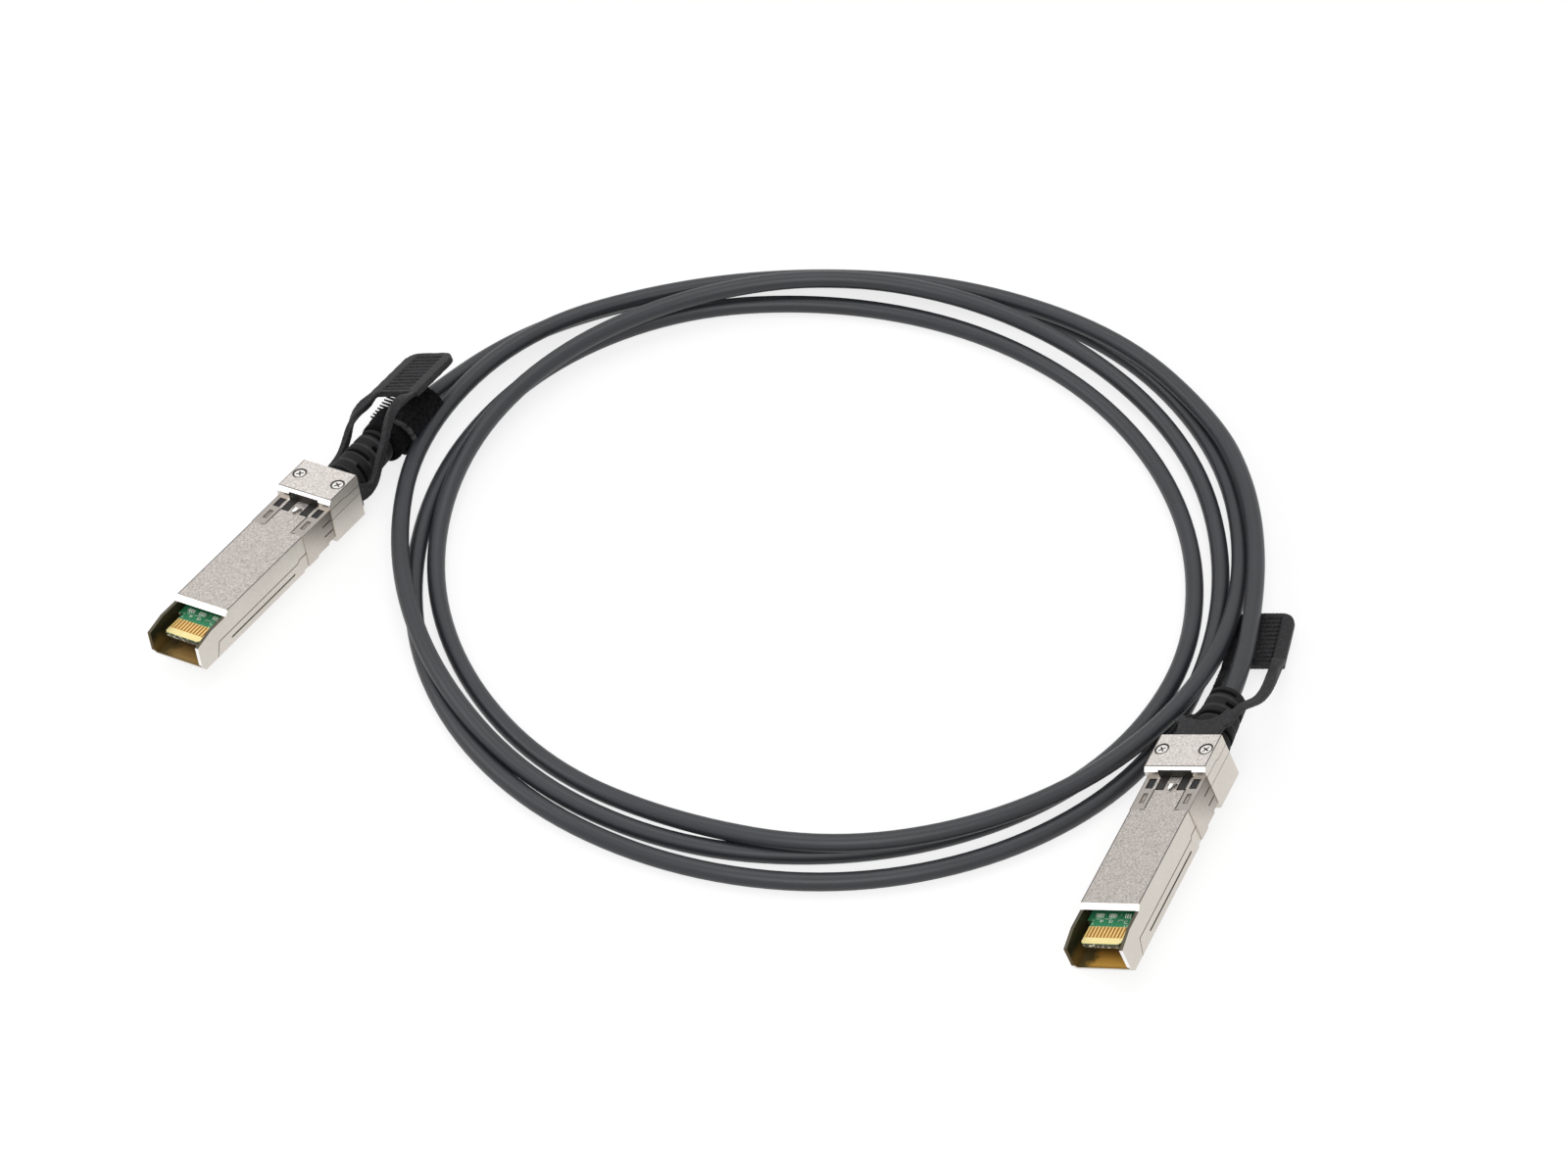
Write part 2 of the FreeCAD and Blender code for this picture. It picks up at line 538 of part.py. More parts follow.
def pull_tab(which):
    x, y, z, turn, rise, roll = GRIP_A if which == "a" else GRIP_B
    place = placement((head_end() + x, y, z, turn, rise, roll))
    piece = grip()
    piece.Placement = place
    normal = place.Rotation.multVec(V(0, 0, 1))
    for side, stations in zip((-1, 1), ARMS_A if which == "a" else ARMS_B):
        reach = place.multVec(V(1.2, side * (GRIP_WIDE - GRIP_RIM) / 2.0, GRIP_HIGH / 2.0))
        reach = (reach.x - head_end(), reach.y, reach.z)
        end = (reach, tuple(normal), GRIP_HIGH / 2.0 - 0.03, GRIP_RIM / 2.0 - 0.1)
        piece = piece.fuse(arm(stations + (end,)))
    top = BAR_TOP + YOKE_PROUD if which == "b" else YOKE_LOW_TOP
    yoke = box(yoke_x(), yoke_x() + YOKE_THICK, -YOKE_HALF, YOKE_HALF, YOKE_FOOT, top)
    if which == "b":
        yoke = yoke_plate(top).fuse(yoke.common(rod(yoke_x(), yoke_x() + 2.0, 3.5, 0.0, top)))
    piece = piece.fuse(yoke.cut(boot_room()))
    return piece.cut(box(STOP_X, yoke_x(), -20, 20, -10, 20)).removeSplitter()


def yoke_plate(top):
    """Flat root of the tab, scooped out where the boot rises through it."""
    x_end = yoke_x() + PLATE_LEN
    places = (yoke_x(), yoke_x() + PLATE_LEN * 0.5, x_end)
    edge = [(x, -y) for x, y in zip(places, PLATE_RIGHT)]
    edge += [(x, y) for x, y in zip(places, PLATE_LEFT)][::-1]
    points = [V(x, y, top - PLATE_THICK) for x, y in edge]
    plate = Part.Face(Part.makePolygon(points + points[:1])).extrude(V(0, 0, PLATE_THICK))
    scoop = Part.makeCylinder(SCOOP_R, 4.0, V(x_end - SCOOP_DEEP + SCOOP_R, 0, top - 2.0))
    return plate.cut(scoop)


def ring_point(angle, radius, z):
    a = math.radians(angle)
    return V(COIL_CENTRE[0] + radius * math.cos(a), COIL_CENTRE[1] + radius * math.sin(a), z)


def corner_arc(before, corner, after):
    """Tangent arc round one corner: its start, middle and end."""
    run_in = (before - corner)
    run_out = (after - corner)
    u = V(run_in).normalize()
    w = V(run_out).normalize()
    turn = math.pi - u.getAngle(w)
    cut = 0.45 * min(run_in.Length, run_out.Length)
    radius = cut / math.tan(turn / 2.0)
    start = corner + u * cut
    end = corner + w * cut
    bisector = (u + w).normalize()
    middle = corner + bisector * (math.hypot(radius, cut) - radius)
    return start, middle, end


def closed_outline(radii, z):
    points = []
    for i, radius in enumerate(radii):
        points.append(ring_point(i * COIL_STEP, radius / math.cos(math.radians(COIL_STEP / 2)), z))
    count = len(points)
    arcs = [corner_arc(points[i - 1], points[i], points[(i + 1) % count]) for i in range(count)]
    edges = []
    for i in range(count):
        start, middle, end = arcs[i]
        edges.append(Part.Arc(start, middle, end).toShape())
        edges.append(Part.LineSegment(end, arcs[(i + 1) % count][0]).toShape())
    return Part.Face(Part.Wire(edges))


def cable_coil():
    outer = closed_outline(COIL_OUTER, 0.0).extrude(V(0, 0, COIL_HIGH))
    inner = closed_outline(COIL_INNER, -1.0).extrude(V(0, 0, COIL_HIGH + 2))
    return outer.cut(inner)


def tube(points, radius):
    edges = []
    last = points[0]
    for i in range(1, len(points) - 1):
        start, middle, end = corner_arc(points[i - 1], points[i], points[i + 1])
        edges.append(Part.LineSegment(last, start).toShape())
        edges.append(Part.Arc(start, middle, end).toShape())
        last = end
    edges.append(Part.LineSegment(last, points[-1]).toShape())
    spine = Part.Wire(edges)
    ring = Part.Wire(Part.Circle(points[0], points[1] - points[0], radius).toShape())
    solid = spine.makePipeShell([ring], True, False, 1)
    return solid


def tail_points(pose, stations):
    place = placement(pose)
    end = place.multVec(V(boot_end(), 0, AXIS_Z))
    ahead = place.multVec(V(boot_end() + LEAD, 0, AXIS_Z))
    return [end, ahead] + [ring_point(*s) for s in stations]


def cable_tail(pose, stations):
    return tube(tail_points(pose, stations), CABLE_D / 2.0)


def strap_layer(x0, x1, thick, high):
    """Closed band round the cable, with its long edges rounded."""
    band = box(x0, x1, -thick / 2.0, thick / 2.0, 0.0, high)
    long_edges = [e for e in band.Edges if abs(e.Length - (x1 - x0)) < 0.001]
    return band.makeFillet(thick * 0.4, long_edges)


def hook_loop_strap(tail):
    outer = strap_layer(-STRAP_WIDE / 2, STRAP_WIDE / 2, STRAP_THICK, STRAP_HIGH)
    inner = strap_layer(-STRAP_WIDE / 2 - STRAP_INNER, 0.0, STRAP_THICK - STRAP_STEP, STRAP_HIGH - STRAP_STEP)
    band = outer.fuse(inner)
    band.rotate(V(0, 0, 0), V(0, 0, 1), STRAP_TURN)
    band.translate(V(STRAP_AT[0], STRAP_AT[1], 0.1))
    return band.cut(tail)


def main():
    os.makedirs("parts", exist_ok=True)
    nodes = {}
    plain = {"shell_top": shell_top, "shell_base": shell_base, "head_cap": head_cap,
             "head_screws": head_screws, "emi_collar": emi_collar, "paddle_card": paddle_card,
             "edge_contacts": edge_contacts, "card_chips": card_chips, "ferrule": ferrule,
             "twinax_pairs": twinax_pairs, "boot": boot, "latch_slider": latch_slider}
    for which, pose in (("a", PLUG_A), ("b", PLUG_B)):
        for name, make in plain.items():
            nodes[name + "_" + which] = (make(), pose)
        nodes["pull_tab_" + which] = (pull_tab(which), pose)
    placed = {}
    for name, (shape, pose) in nodes.items():
        shape.Placement = placement(pose).multiply(shape.Placement)
        placed[name] = shape
    coil = cable_coil()
    tail_a = cable_tail(PLUG_A, TAIL_A)
    tail_b = cable_tail(PLUG_B, TAIL_B)
    placed["cable_coil"] = coil
    placed["hook_loop_strap"] = hook_loop_strap(tail_a)
    placed["cable_tail_a"] = tail_a
    placed["cable_tail_b"] = tail_b
    for name, shape in placed.items():
        shape.exportStep("parts/" + name + ".step")


main()
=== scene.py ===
import math

import bpy
from mathutils import Euler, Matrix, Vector


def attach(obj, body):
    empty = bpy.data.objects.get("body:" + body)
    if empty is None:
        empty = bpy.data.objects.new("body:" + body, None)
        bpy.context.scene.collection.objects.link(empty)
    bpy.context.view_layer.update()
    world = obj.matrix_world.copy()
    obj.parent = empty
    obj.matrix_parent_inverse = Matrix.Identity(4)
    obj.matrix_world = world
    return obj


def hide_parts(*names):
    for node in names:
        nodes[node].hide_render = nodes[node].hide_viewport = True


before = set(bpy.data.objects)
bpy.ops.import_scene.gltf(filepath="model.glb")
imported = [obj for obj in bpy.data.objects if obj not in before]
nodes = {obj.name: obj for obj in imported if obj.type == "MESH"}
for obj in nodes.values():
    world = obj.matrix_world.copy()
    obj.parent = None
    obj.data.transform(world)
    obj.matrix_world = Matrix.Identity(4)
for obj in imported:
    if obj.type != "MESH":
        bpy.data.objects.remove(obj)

bpy.ops.object.select_all(action="DESELECT")
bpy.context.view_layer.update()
MM = 0.001

# Where each plug lies: nose tip in mm, then roll, pitch and turn in degrees.
# A plug's own axes run +x from nose to cable, y across and z up to the latch.
PLUGS = {
    "a": ((-114.34, -1.65, 4.46), (-9.08, 2.42, 58.66)),
    "b": ((75.62, -83.52, 2.84), (-24.76, -0.28, 65.35)),
}

# Landmarks of a plug in its own axes, in mm; pairs run from one end to the other.
# Housing.
SLOPE_X = 9.9            # foot of the slope up to the cover, which carries a painted highlight
COVER_X = 11.0           # and its top, where the blasted cover starts
COVER_Z = 8.2            # the cover's face lies above this
HEAD_X = 47.4            # front face of the head
FLANK_Y = 6.45           # outer skin of the side walls
FOLD_X = (COVER_X, 37.7)     # folded edge of the cover, over the side walls
FOLD_Y = (6.46, 6.69)
FOLD_Z = 8.35
SEAM_Z = 3.36            # seam between the two halves of the housing
SEAM_STEP_X = 34.8       # where it steps up
SEAM_STEP = 0.6
SEAM_FOOT_X = 5.14       # its front end, at the underside
SEAM_LEAN = 0.4242       # and how that end leans back as it rises
GROOVE_X = (10.4, 33.1)
GROOVE_Z = 1.6
INSIDE_X = 12.0          # depth, half width and height inside the nose
INSIDE_Y = 5.99
INSIDE_Z = (0.72, 7.47)
RIM_Y = 5.93             # rims of the nose
RIM_Z = 5.8
# Pockets, slide way, boss and ledge in front of the head.
POCKET_X = (43.95, 46.95)
POCKET_Y = (3.5, 6.0)
POCKET_Z = (5.5, 8.3)
WAY_X = (43.5, 50.5)
WAY_HALF = 3.6
WAY_Z = (7.0, 8.3)
BOSS_X = (43.2, 45.2)
BOSS_HALF = 1.4
BOSS_Z = 8.52
LEDGE_X = (46.9, 47.5)
LEDGE_Y = (3.5, 6.8)
LEDGE_Z = (6.0, 8.6)
# Head cap and screws.
CAP_SLOPE_X = 48.5       # the sloping front edge ends here
CAP_BROW_X = 48.42
CAP_FOLD_Y = 6.84
CAP_FOLD_Z = 10.58
CHANNEL_HALF = 3.9
CHANNEL_Z = 10.1
SCREW_X = 53.5
SCREW_Y = 5.1
SCREW_RIM_R = 1.18
CROSS_R = 1.1            # the cross lies inside this and below this height
CROSS_Z = 10.5
COUNTERBORE_R = (1.34, 1.66)
COUNTERBORE_Z = 9.6
# Collar: slits in its sides, and the two pads on top with a slot in each.
SLIT_X = (44.0, 47.3)
SLIT_Y = 6.3
SLIT_HEIGHTS = (6.2, 3.6)
PAD_X = (38.3, 44.0)
PAD_LIP_X = 37.85
PAD_LIP_Y = (3.6, 4.6)
PAD_INNER_Y = (3.5, 3.72)
PAD_OUTER_Y = 6.72
PAD_MIDDLE_Y = 5.05
SLOT_INNER = (39.95, 42.35)
SLOT_OUTER = (39.7, 42.6)
# Card and contacts.
TRACKS_X = (7.7, 11.5)
CHIPS_X = 12.0           # the small parts in front of this are cream
CONTACT_PITCH = 0.8
CONTACT_BAND_X = 4.5     # the contacts are worn bright in front of this
CONTACT_X = (4.6, 7.5)
CONTACT_HALF = 4.1
# Boot and cable.
BOOT_RINGS_X = (60.6, 72.6)
BOOT_RING_X = 60.1
BOOT_SLOT_PITCH = 2.6
BOOT_END = 72.9          # cable leaves the boot here
CABLE_AXIS = 4.25

CABLE_D = 3.9
COIL_CENTRE = (22.05, 29.98)
STRAP_AT = (-71.45, 70.99)   # middle of the hook and loop strap, and its turn
STRAP_TURN = 64.0


# ---- camera ----------------------------------------------------------------
camera_data = bpy.data.cameras.new("camera")
camera = bpy.data.objects.new("camera", camera_data)
bpy.context.scene.collection.objects.link(camera)
camera.location = (0.01255, -0.64331, 0.6906)
camera.rotation_euler = (math.radians(44.06), 0.0, 0.0)
camera_data.lens = 102.9
camera_data.sensor_width = 36.0
camera_data.clip_start = 0.01
camera_data.clip_end = 30.0
bpy.context.scene.camera = camera


# ---- places on the plugs ---------------------------------------------------
def plug_turn(which):
    angles = [math.radians(a) for a in PLUGS[which][1]]
    return Euler(angles, "XYZ").to_matrix()


def on_plug(which, x, y, z):
    """A point in a plug's own axes, in mm, as a place in the frame, in metres."""
    return (Vector(PLUGS[which][0]) + plug_turn(which) @ Vector((x, y, z))) * MM


def in_plug(which, place):
    """A place in the frame, in metres, as a point in a plug's own axes, in mm."""
    return plug_turn(which).transposed() @ (Vector(place) / MM - Vector(PLUGS[which][0]))


def on_coil(angle, radius, height):
    """A point about the coil's centre, in degrees and mm, as a place in the frame."""
    a = math.radians(angle)
    return Vector((COIL_CENTRE[0] + radius * math.cos(a),
                   COIL_CENTRE[1] + radius * math.sin(a), height)) * MM


# ---- shader maths ----------------------------------------------------------
class Value:
    """The value of one socket; sums on it add Math nodes."""

    def __init__(self, finish, socket):
        self.finish = finish
        self.socket = socket

    def maths(self, operation, *values, clamp=False):
        inputs = dict(enumerate(values))
        return self.finish.node("ShaderNodeMath", {"operation": operation, "use_clamp": clamp}, inputs)

    def __add__(self, other):
        return self.maths("ADD", self, other)

    def __sub__(self, other):
        return self.maths("SUBTRACT", self, other)

    def __rsub__(self, other):
        return self.maths("SUBTRACT", other, self)

    def __mul__(self, other):
        return self.maths("MULTIPLY", self, other)

    __radd__ = __add__
    __rmul__ = __mul__

    def size(self):
        return self.maths("ABSOLUTE", self)

    def wrap(self, pitch):
        """The rest after whole pitches are taken off."""
        return self.maths("FLOORED_MODULO", self, pitch)

    def root(self):
        return self.maths("SQRT", self)

    def most(self, other):
        return self.maths("MAXIMUM", self, other)

    def above(self, edge, soft=0.02):
        """0 below the edge and 1 above it, with a soft step between."""
        return self.maths("MULTIPLY_ADD", self, 1.0 / soft, 0.5 - edge / soft, clamp=True)

    def below(self, edge, soft=0.02):
        """1 below the edge and 0 above it."""
        return self.maths("MULTIPLY_ADD", self, -1.0 / soft, 0.5 + edge / soft, clamp=True)

    def within(self, low, high, soft=0.02):
        return self.above(low, soft) * self.below(high, soft)

    def near(self, place, half, soft):
        """1 within half a width of a place."""
        return (self - place).size().below(half, soft)


class Nodes:
    """The nodes of a material or of the world."""

    def __init__(self, owner):
        owner.use_nodes = True
        self.tree = owner.node_tree
        self.tree.nodes.clear()

    def node(self, kind, settings=None, inputs=None, out=0):
        """Any node, from its type, its settings and the values or links of its sockets."""
        node = self.tree.nodes.new(kind)
        for key, value in (settings or {}).items():
            setattr(node, key, value)
        for key, value in (inputs or {}).items():
            socket = node.inputs[key]
            if isinstance(value, Value):
                self.tree.links.new(value.socket, socket)
            elif socket.type == "RGBA":
                socket.default_value = (*value, 1.0)
            else:
                socket.default_value = value
        return Value(self, node.outputs[out]) if node.outputs else None

    def background_ray(self):
        """1 where the camera, a mirror or glass sees this straight on."""
        camera_ray, mirrored, through = [self.node("ShaderNodeLightPath", out=f"Is {kind} Ray")
                                         for kind in ("Camera", "Glossy", "Transmission")]
        return camera_ray.most(mirrored).most(through)


class Finish(Nodes):
    """One material and the nodes in it."""

    def __init__(self, name):
        self.material = bpy.data.materials.new(name)
        super().__init__(self.material)

    def place(self):
        return self.node("ShaderNodeTexCoord", out="Object")

    def along(self, vector, axis, start=(0, 0, 0)):
        """How far a vector reaches along an axis from a start."""
        shifted = self.node("ShaderNodeVectorMath", {"operation": "SUBTRACT"}, {0: vector, 1: start})
        return self.node("ShaderNodeVectorMath", {"operation": "DOT_PRODUCT"},
                         {0: shifted, 1: axis}, out="Value")

    def plug_place(self, which):
        """The plug's own x, y and z in mm, and how far the surface faces up in them."""
        turn = plug_turn(which)
        start = Vector(PLUGS[which][0]) * MM
        here = self.place()
        x, y, z = [self.along(here, turn.col[i], start) * 1000.0 for i in range(3)]
        facing = self.node("ShaderNodeNewGeometry", out="Normal")
        return x, y, z, self.along(facing, turn.col[2])

    def noise(self, scale, detail=2.0, rough=0.5, vector=None):
        return self.node("ShaderNodeTexNoise", None,
                         {"Vector": vector or self.place(), "Scale": scale,
                          "Detail": detail, "Roughness": rough})

    def mix(self, factor, first, second):
        return self.node("ShaderNodeMix", {"data_type": "RGBA"},
                         {0: factor, 6: first, 7: second}, out=2)

    def bump(self, height, strength, distance, under=None):
        inputs = {"Height": height, "Strength": strength, "Distance": distance}
        if under:
            inputs["Normal"] = under
        return self.node("ShaderNodeBump", None, inputs)

    def surface(self, **sockets):
        names = {key.replace("_", " "): value for key, value in sockets.items()}
        shader = self.node("ShaderNodeBsdfPrincipled", None, names)
        self.node("ShaderNodeOutputMaterial", None, {"Surface": shader})
        return self.material


# ---- finishes --------------------------------------------------------------
# painted highlight, for the slopes and the boss that catch the light
PAINTED_HIGHLIGHT = (0.97, 0.96, 0.94)


def seam_and_groove_shade(x, y, z, side):
    """Painted shade in the seam of the two halves, its step and its slanting front end, and in the
    groove below it.
    """
    flank = side.above(FLANK_Y, 0.05)
    rise = x.above(SEAM_STEP_X, 0.6) * SEAM_STEP
    seam = (z - SEAM_Z - rise).size().below(0.13, 0.06) * x.above(6.5, 0.1)
    slant = (x - z * SEAM_LEAN).near(SEAM_FOOT_X, 0.12, 0.06) * z.below(3.4)
    groove = z.near(GROOVE_Z, 0.24, 0.06) * x.within(*GROOVE_X, 0.1) * y.below(0.0)
    lines = seam.most(slant) * 0.75
    return lines.most(groove * 0.85) * flank * x.below(HEAD_X)


def shade_before_head(f, colour, x, z, side, up, top):
    """Slits, pockets and slide way lie deep in shade; the boss and the ledge catch light."""
    slits = z.near(SLIT_HEIGHTS[0], 0.26, 0.05).most(z.near(SLIT_HEIGHTS[1], 0.26, 0.05))
    slits = slits * x.within(*SLIT_X, 0.1) * side.above(SLIT_Y, 0.1)
    colour = f.mix(slits, colour, (0.05, 0.045, 0.04))
    pocket = x.within(*POCKET_X, 0.05) * side.within(*POCKET_Y, 0.05) * z.within(*POCKET_Z, 0.1)
    way = z.within(*WAY_Z, 0.1) * x.within(*WAY_X, 0.05) * side.below(WAY_HALF, 0.05)
    colour = f.mix(pocket.most(way), colour, (0.13, 0.125, 0.12))
    # painted shade on the boss, with a painted highlight along the middle of its top
    boss = x.within(*BOSS_X, 0.05) * side.below(BOSS_HALF, 0.05) * z.above(BOSS_Z, 0.03)
    colour = f.mix(boss * up.below(0.5, 0.1), colour, (0.12, 0.11, 0.10))
    colour = f.mix(boss * top, colour, (0.26, 0.24, 0.22))
    colour = f.mix(boss * top * side.below(0.42, 0.1), colour, PAINTED_HIGHLIGHT)
    # painted highlights in bright specks on the ledge under the head, guessed to be solder and swarf
    ledge_glint = x.within(*LEDGE_X, 0.05) * side.within(*LEDGE_Y, 0.1) * z.within(*LEDGE_Z, 0.1)
    return f.mix(ledge_glint * f.noise(1300.0, 1.0).above(0.55, 0.1), colour, (0.95, 0.93, 0.88))


def gilt_light(f, which, x, y, z, up):
    """Warm light that the plated contacts throw on the floor and walls inside the nose."""
    streak = f.noise(360.0, 3.0, 0.6)
    shade = (y * 0.55 - 1.25 + (streak - 0.5) * 3.4).most(0.0)
    lit = (0.74, 0.41, 0.08) if which == "b" else (0.42, 0.26, 0.09)
    floor = f.mix(shade, lit, (0.12, 0.085, 0.025))
    floor = f.mix(x.below(0.9, 0.9) * 0.8, floor, (0.10, 0.065, 0.02))
    drop = (z * -0.42 + 2.05 + (streak - 0.5) * 1.4).most(0.0)
    wall = f.mix(drop, (0.016, 0.018, 0.005), (0.17, 0.105, 0.025))
    gilt = f.mix(up.above(0.5, 0.2), wall, floor)
    # painted shade deeper in the nose
    return f.mix(x.above(5.5, 5.0), gilt, (0.03, 0.025, 0.008))


def nickel_shell(which):
    """Cast housing under satin nickel: blasted cover, smoother walls, gilt light in the nose, painted
    shade in its seams and recesses, painted highlights.
    """
    f = Finish("nickel_shell_" + which)
    x, y, z, up = f.plug_place(which)
    side = y.size()
    grain = f.noise(2600.0, 2.0, 0.5).above(0.5, 0.34)
    cloud = f.noise(90.0, 2.0)
    top = up.above(0.9, 0.06)
    wall = f.mix(cloud, (0.62, 0.58, 0.525), (0.71, 0.67, 0.61))
    wall = f.mix(grain * 0.35, wall, (0.56, 0.52, 0.47))
    cover = top * x.within(COVER_X, HEAD_X) * z.above(COVER_Z, 0.1)
    blasted = f.mix(grain, (0.37, 0.335, 0.31), (0.63, 0.59, 0.56))
    colour = f.mix(cover, wall, blasted)
    # painted highlight on the slope up to the cover
    colour = f.mix(x.within(SLOPE_X, COVER_X, 0.04) * up.within(0.5, 0.9, 0.05), colour, PAINTED_HIGHLIGHT)
    # painted shade in the seam and the groove
    colour = f.mix(seam_and_groove_shade(x, y, z, side), colour, (0.10, 0.085, 0.07))
    # painted dark reflection on the edge where the cover is folded over the side walls
    edge_reflection = side.within(*FOLD_Y, 0.08) * z.above(FOLD_Z, 0.1) * x.within(*FOLD_X, 0.3)
    colour = f.mix(edge_reflection * 0.9, colour, (0.075, 0.065, 0.06))
    colour = shade_before_head(f, colour, x, z, side, up, top)
    inside = side.below(INSIDE_Y, 0.03) * z.within(*INSIDE_Z, 0.05) * x.below(INSIDE_X, 0.1)
    colour = f.mix(inside, colour, gilt_light(f, which, x, y, z, up))
    # painted shade on the rims of the nose, on top and below, from the gap beside the card; the front
    # faces are dark brown, with a painted highlight at the right front
    rim_shade = up.above(0.6, 0.1) * side.above(RIM_Y, 0.04) * x.below(SLOPE_X, 0.1) * z.above(RIM_Z)
    colour = f.mix(rim_shade * 0.9, colour, (0.06, 0.05, 0.025))
    front = x.below(0.03, 0.02) * up.size().below(0.4, 0.1)
    colour = f.mix(front, colour, (0.10, 0.07, 0.03))
    colour = f.mix(front * y.below(-5.9, 0.1), colour, (0.93, 0.92, 0.90))
    rough = 0.30 + cover * 0.14 + grain * 0.08 + inside * 0.15
    return f.surface(Base_Color=colour, Metallic=1.0 - inside * 0.62, Roughness=rough,
                     Normal=f.bump(grain, 0.3, 0.00005))


def from_screw(x, side):
    """How far a place lies from the axis of its screw."""
    return ((x - SCREW_X) * (x - SCREW_X) + (side - SCREW_Y) * (side - SCREW_Y)).root()


def nickel_cap(which):
    """Head cap: the same nickel, a little finer on its top face, with painted dark reflections on its
    edges and painted shade in its recesses.
    """
    f = Finish("nickel_cap_" + which)
    x, y, z, up = f.plug_place(which)
    side = y.size()
    grain = f.noise(2100.0, 2.0, 0.5).above(0.5, 0.34)
    face = f.mix(grain, (0.56, 0.515, 0.485), (0.82, 0.775, 0.745))
    wall = f.mix(grain * 0.5, (0.68, 0.64, 0.585), (0.56, 0.52, 0.47))
    colour = f.mix(up.above(0.9, 0.06), wall, face)
    # painted highlight on the sloping front edge
    colour = f.mix(up.within(0.5, 0.9, 0.05) * x.below(CAP_SLOPE_X), colour, PAINTED_HIGHLIGHT)
    # painted dark reflections along the folded side edges and the brow
    edge_reflection = side.above(CAP_FOLD_Y, 0.08) * z.above(CAP_FOLD_Z, 0.08)
    brow_reflection = x.near(CAP_BROW_X, 0.13, 0.06) * z.above(10.6, 0.05)
    colour = f.mix(edge_reflection.most(brow_reflection) * 0.85, colour, (0.09, 0.08, 0.07))
    # painted shade in the counterbore, a dark ring round each screw
    ring_shade = from_screw(x, side).within(*COUNTERBORE_R, 0.1) * z.above(COUNTERBORE_Z)
    colour = f.mix(ring_shade * 0.9, colour, (0.07, 0.06, 0.05))
    # painted shade in the channel
    channel_shade = side.below(CHANNEL_HALF, 0.04) * z.below(CHANNEL_Z, 0.05)
    colour = f.mix(channel_shade, colour, (0.07, 0.06, 0.05))
    return f.surface(Base_Color=colour, Metallic=1.0, Roughness=0.30 + grain * 0.1,
                     Normal=f.bump(grain, 0.25, 0.00005))


def screw_steel(which):
    """Screws: turned heads, with painted shade at the rim and in the cross."""
    f = Finish("screw_steel_" + which)
    x, y, z = f.plug_place(which)[:3]
    lathe = f.noise(3000.0, 2.0)
    colour = f.mix(lathe, (0.80, 0.78, 0.75), (0.97, 0.95, 0.92))
    far = from_screw(x, y.size())
    # painted shade round the rim of each head and in its cross
    colour = f.mix(far.above(SCREW_RIM_R, 0.08) * 0.9, colour, (0.08, 0.07, 0.06))
    cross_shade = z.below(CROSS_Z, 0.1) * far.below(CROSS_R, 0.1)
    colour = f.mix(cross_shade, colour, (0.10, 0.09, 0.08))
    return f.surface(Base_Color=colour, Metallic=1.0, Roughness=0.22 + lathe * 0.12,
                     Normal=f.bump(lathe, 0.15, 0.00003))


def spring_steel(which):
    """Rolled spring sheet of the collar, greyer than the housing, with faint roll marks."""
    f = Finish("spring_steel_" + which)
    x, y, z, up = f.plug_place(which)
    side = y.size()
    roll = f.node("ShaderNodeCombineXYZ", None, {0: x * 0.06, 1: y * 1.6, 2: z * 1.6})
    mark = f.noise(6.0, 3.0, 0.6, vector=roll)
    grain = f.noise(1700.0, 2.0, 0.5).above(0.5, 0.4)
    pad = up.above(0.9, 0.06)
    flank = f.mix(mark, (0.56, 0.515, 0.46), (0.72, 0.67, 0.61))
    # painted shade grows towards the upper rear corner, under the head
    shade_under_head = ((x - 40.0) * 0.09 + (z - 3.2) * 0.09 + (mark - 0.5) * 0.5).most(0.0)
    flank = f.mix(shade_under_head * 0.9, flank, (0.15, 0.13, 0.11))
    sheet = f.mix(mark, (0.38, 0.35, 0.32), (0.50, 0.46, 0.43))
    colour = f.mix(pad, flank, sheet)
    colour = f.mix(grain * 0.25, colour, (0.30, 0.275, 0.25))
    # painted shade along the pad edges and round the slot in each pad; the middle of each slot is
    # lighter
    line = side.within(*PAD_INNER_Y, 0.06) * x.within(*PAD_X, 0.2)
    painted_lip = x.near(PAD_LIP_X, 0.12, 0.06) * side.within(*PAD_LIP_Y, 0.2)
    edge = side.above(PAD_OUTER_Y, 0.06)
    mid = (side - PAD_MIDDLE_Y).size()
    inner = mid.below(0.30, 0.05) * x.within(*SLOT_INNER, 0.06)
    ring_shade = mid.below(0.54, 0.05) * x.within(*SLOT_OUTER, 0.06) * (1.0 - inner)
    colour = f.mix(inner * pad, colour, (0.72, 0.68, 0.64))
    pad_shade = line.most(painted_lip).most(edge * 0.8).most(ring_shade)
    colour = f.mix(pad_shade * pad * 0.9, colour, (0.07, 0.06, 0.055))
    return f.surface(Base_Color=colour, Metallic=1.0, Roughness=0.28 + mark * 0.14,
                     Normal=f.bump(mark, 0.12, 0.00004))


# Plain white position marks on the card: across from left to right, and along from front to back.
CARD_MARKS = (
    (3.1, 3.9, 9.65, 9.8), (2.6, 2.8, 9.0, 9.7), (2.1, 2.3, 9.0, 9.5), (2.2, 2.7, 8.9, 9.05),
    (0.3, 2.0, 9.75, 9.9), (0.5, 0.7, 8.8, 9.5), (0.0, 0.5, 8.8, 8.95), (-0.1, 0.1, 8.9, 9.5),
    (-2.6, -1.4, 9.5, 9.65), (-3.0, -2.8, 8.7, 9.3), (-3.7, -3.1, 8.6, 8.75),
    (4.0, 4.2, 8.1, 8.6), (-3.4, -3.2, 7.8, 8.2), (-4.0, -3.8, 7.8, 8.2),
)


